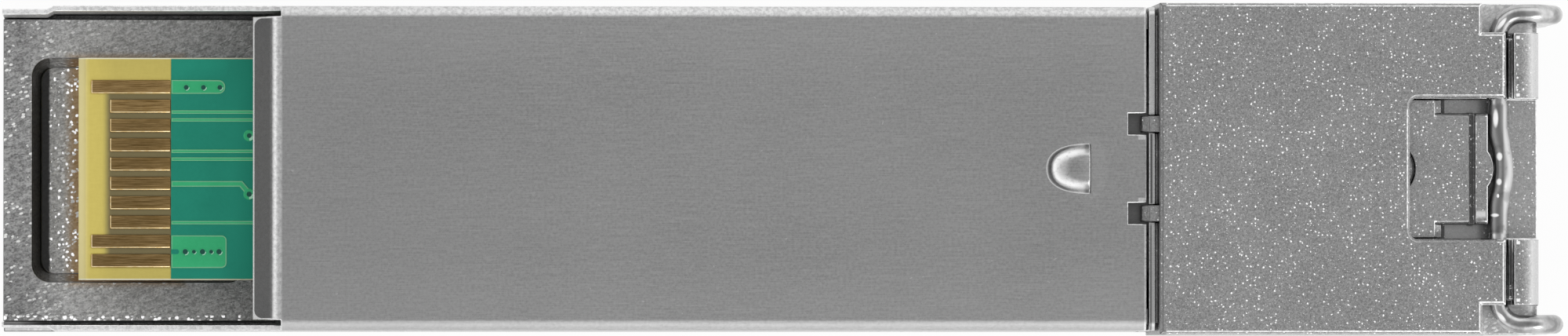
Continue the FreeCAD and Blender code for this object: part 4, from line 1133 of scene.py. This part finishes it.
def dress_board():
    """The board with its mask, copper and contacts."""
    gold = [scuffed_gold_finish(), gold_edge_painted_highlight_finish()]
    mask = solder_mask_finish("green_solder_mask", (0.006, 0.19, 0.125), (0.012, 0.245, 0.165))
    copper = solder_mask_finish("green_over_copper", (0.025, 0.35, 0.14), (0.045, 0.43, 0.19))
    outline = solder_mask_finish("green_over_copper_edge", (0.15, 0.385, 0.22), (0.2, 0.46, 0.28))
    # the via centres' dark colour is painted shade
    hole = solder_mask_finish("via_hole_painted_shade", (0.006, 0.06, 0.045), (0.014, 0.09, 0.07))
    glint = solder_mask_finish("via_glint", (0.3, 0.62, 0.44), (0.4, 0.72, 0.54))
    paint_nodes(bare_laminate_finish(), "circuit_board")
    paint_nodes(mask, "solder_mask_underside", "solder_mask_label_side")
    contact_row("contacts_underside", "edge_contacts_underside", FIRST_UNDERSIDE, LONG_UNDERSIDE, gold)
    contact_row("contacts_label_side", "edge_contacts_label_side", FIRST_LABEL_SIDE, LONG_LABEL_SIDE, gold)
    covered_copper([copper, outline])
    pad_slot(mask)
    via_holes([copper, hole, glint])


def dress_inner_pieces():
    """Components and optics inside the housing."""
    black = moulded_black_finish()
    steel = turned_steel_finish()
    ceramic = white_ceramic_finish()
    can = gold_can_finish()
    film = amber_film_finish()
    paint_nodes(black, "laser_driver_chip", "limiting_amplifier_chip", "controller_chip", "memory_chip",
                "resistors")
    paint_nodes(ferrite_finish(), "filter_inductors")
    paint_nodes(capacitor_finish(), "capacitors")
    paint_nodes(steel, "optics_retainer")
    for side in ("transmitter", "receiver"):
        paint_nodes(steel, side + "_barrel")
        paint_nodes(ceramic, side + "_split_sleeve", side + "_fibre_stub")
        paint_nodes(can, side + "_can")
        paint_nodes(film, side + "_flex")


def lay_floor():
    """The table that the module lies on."""
    work = bmesh.new()
    bmesh.ops.create_grid(work, x_segments=1, y_segments=1, size=TABLE_HALF)
    mesh_object("table", work, [pale_floor_finish()])


def studio_light():
    """A soft tent: grey straight overhead, bright round it, dark low behind the rear end."""
    world = bpy.data.worlds.new("soft_tent")
    world.use_nodes = True
    bpy.context.scene.world = world
    tent = NodeTree(world.node_tree)
    aim = tent.node("TexCoord", None, None, 0)
    x, y, z = (tent.part(aim, axis) for axis in range(3))
    ring = TENT_OVERHEAD + tent.fade(z, *TENT_RING_FADE) * TENT_RING
    side = (TENT_SIDE + x * TENT_SIDE_ALONG - y * TENT_SIDE_ACROSS).larger(TENT_DARKEST)
    low = tent.fade(z, *TENT_SIDE_FADE)
    level = ring * (1.0 - low) + side * low
    back = tent.node("Background", None, {"Color": level, "Strength": 1.0})
    tent.node("OutputWorld", None, {"Surface": back})


def key_lamp():
    """One large soft lamp from the front and the near side."""
    lamp = bpy.data.lights.new("key", "AREA")
    lamp.shape = "DISK"
    lamp.size = LAMP_WIDTH
    lamp.energy = LAMP_POWER
    holder = placed("key", lamp)
    holder.location = LAMP_PLACE
    holder.rotation_euler = (-holder.location).to_track_quat("-Z", "Y").to_euler()


def aim_camera():
    """A long lens above the rear end, turned to the middle of the underside and framed as the photograph."""
    mid_x = (PHOTO_WIDTH / 2 - REAR_END_PIXEL) / PIXELS_PER_MM
    mid_y = (MID_LINE_PIXEL - PHOTO_HEIGHT / 2) / PIXELS_PER_MM
    reach = math.hypot(CAMERA_BEHIND, CAMERA_NEAR, CAMERA_HEIGHT)
    lean = math.atan2(CAMERA_BEHIND, CAMERA_HEIGHT)
    lens = bpy.data.cameras.new("overhead")
    lens.sensor_width = SENSOR
    lens.lens = SENSOR * reach / math.cos(lean) / (PHOTO_WIDTH / PIXELS_PER_MM)
    lens.clip_end = FAR_CLIP
    camera = placed("overhead", lens)
    camera.location = (from_rear(mid_x - CAMERA_BEHIND), (mid_y - CAMERA_NEAR) * MM,
                       (FOCUS_LEVEL + CAMERA_HEIGHT) * MM)
    camera.rotation_euler = (math.asin(CAMERA_NEAR / reach), -lean, 0.0)
    bpy.context.scene.camera = camera


dress_metalwork()
dress_board()
dress_inner_pieces()
lay_floor()
studio_light()
key_lamp()
aim_camera()
bpy.context.scene.view_settings.view_transform = "Standard"
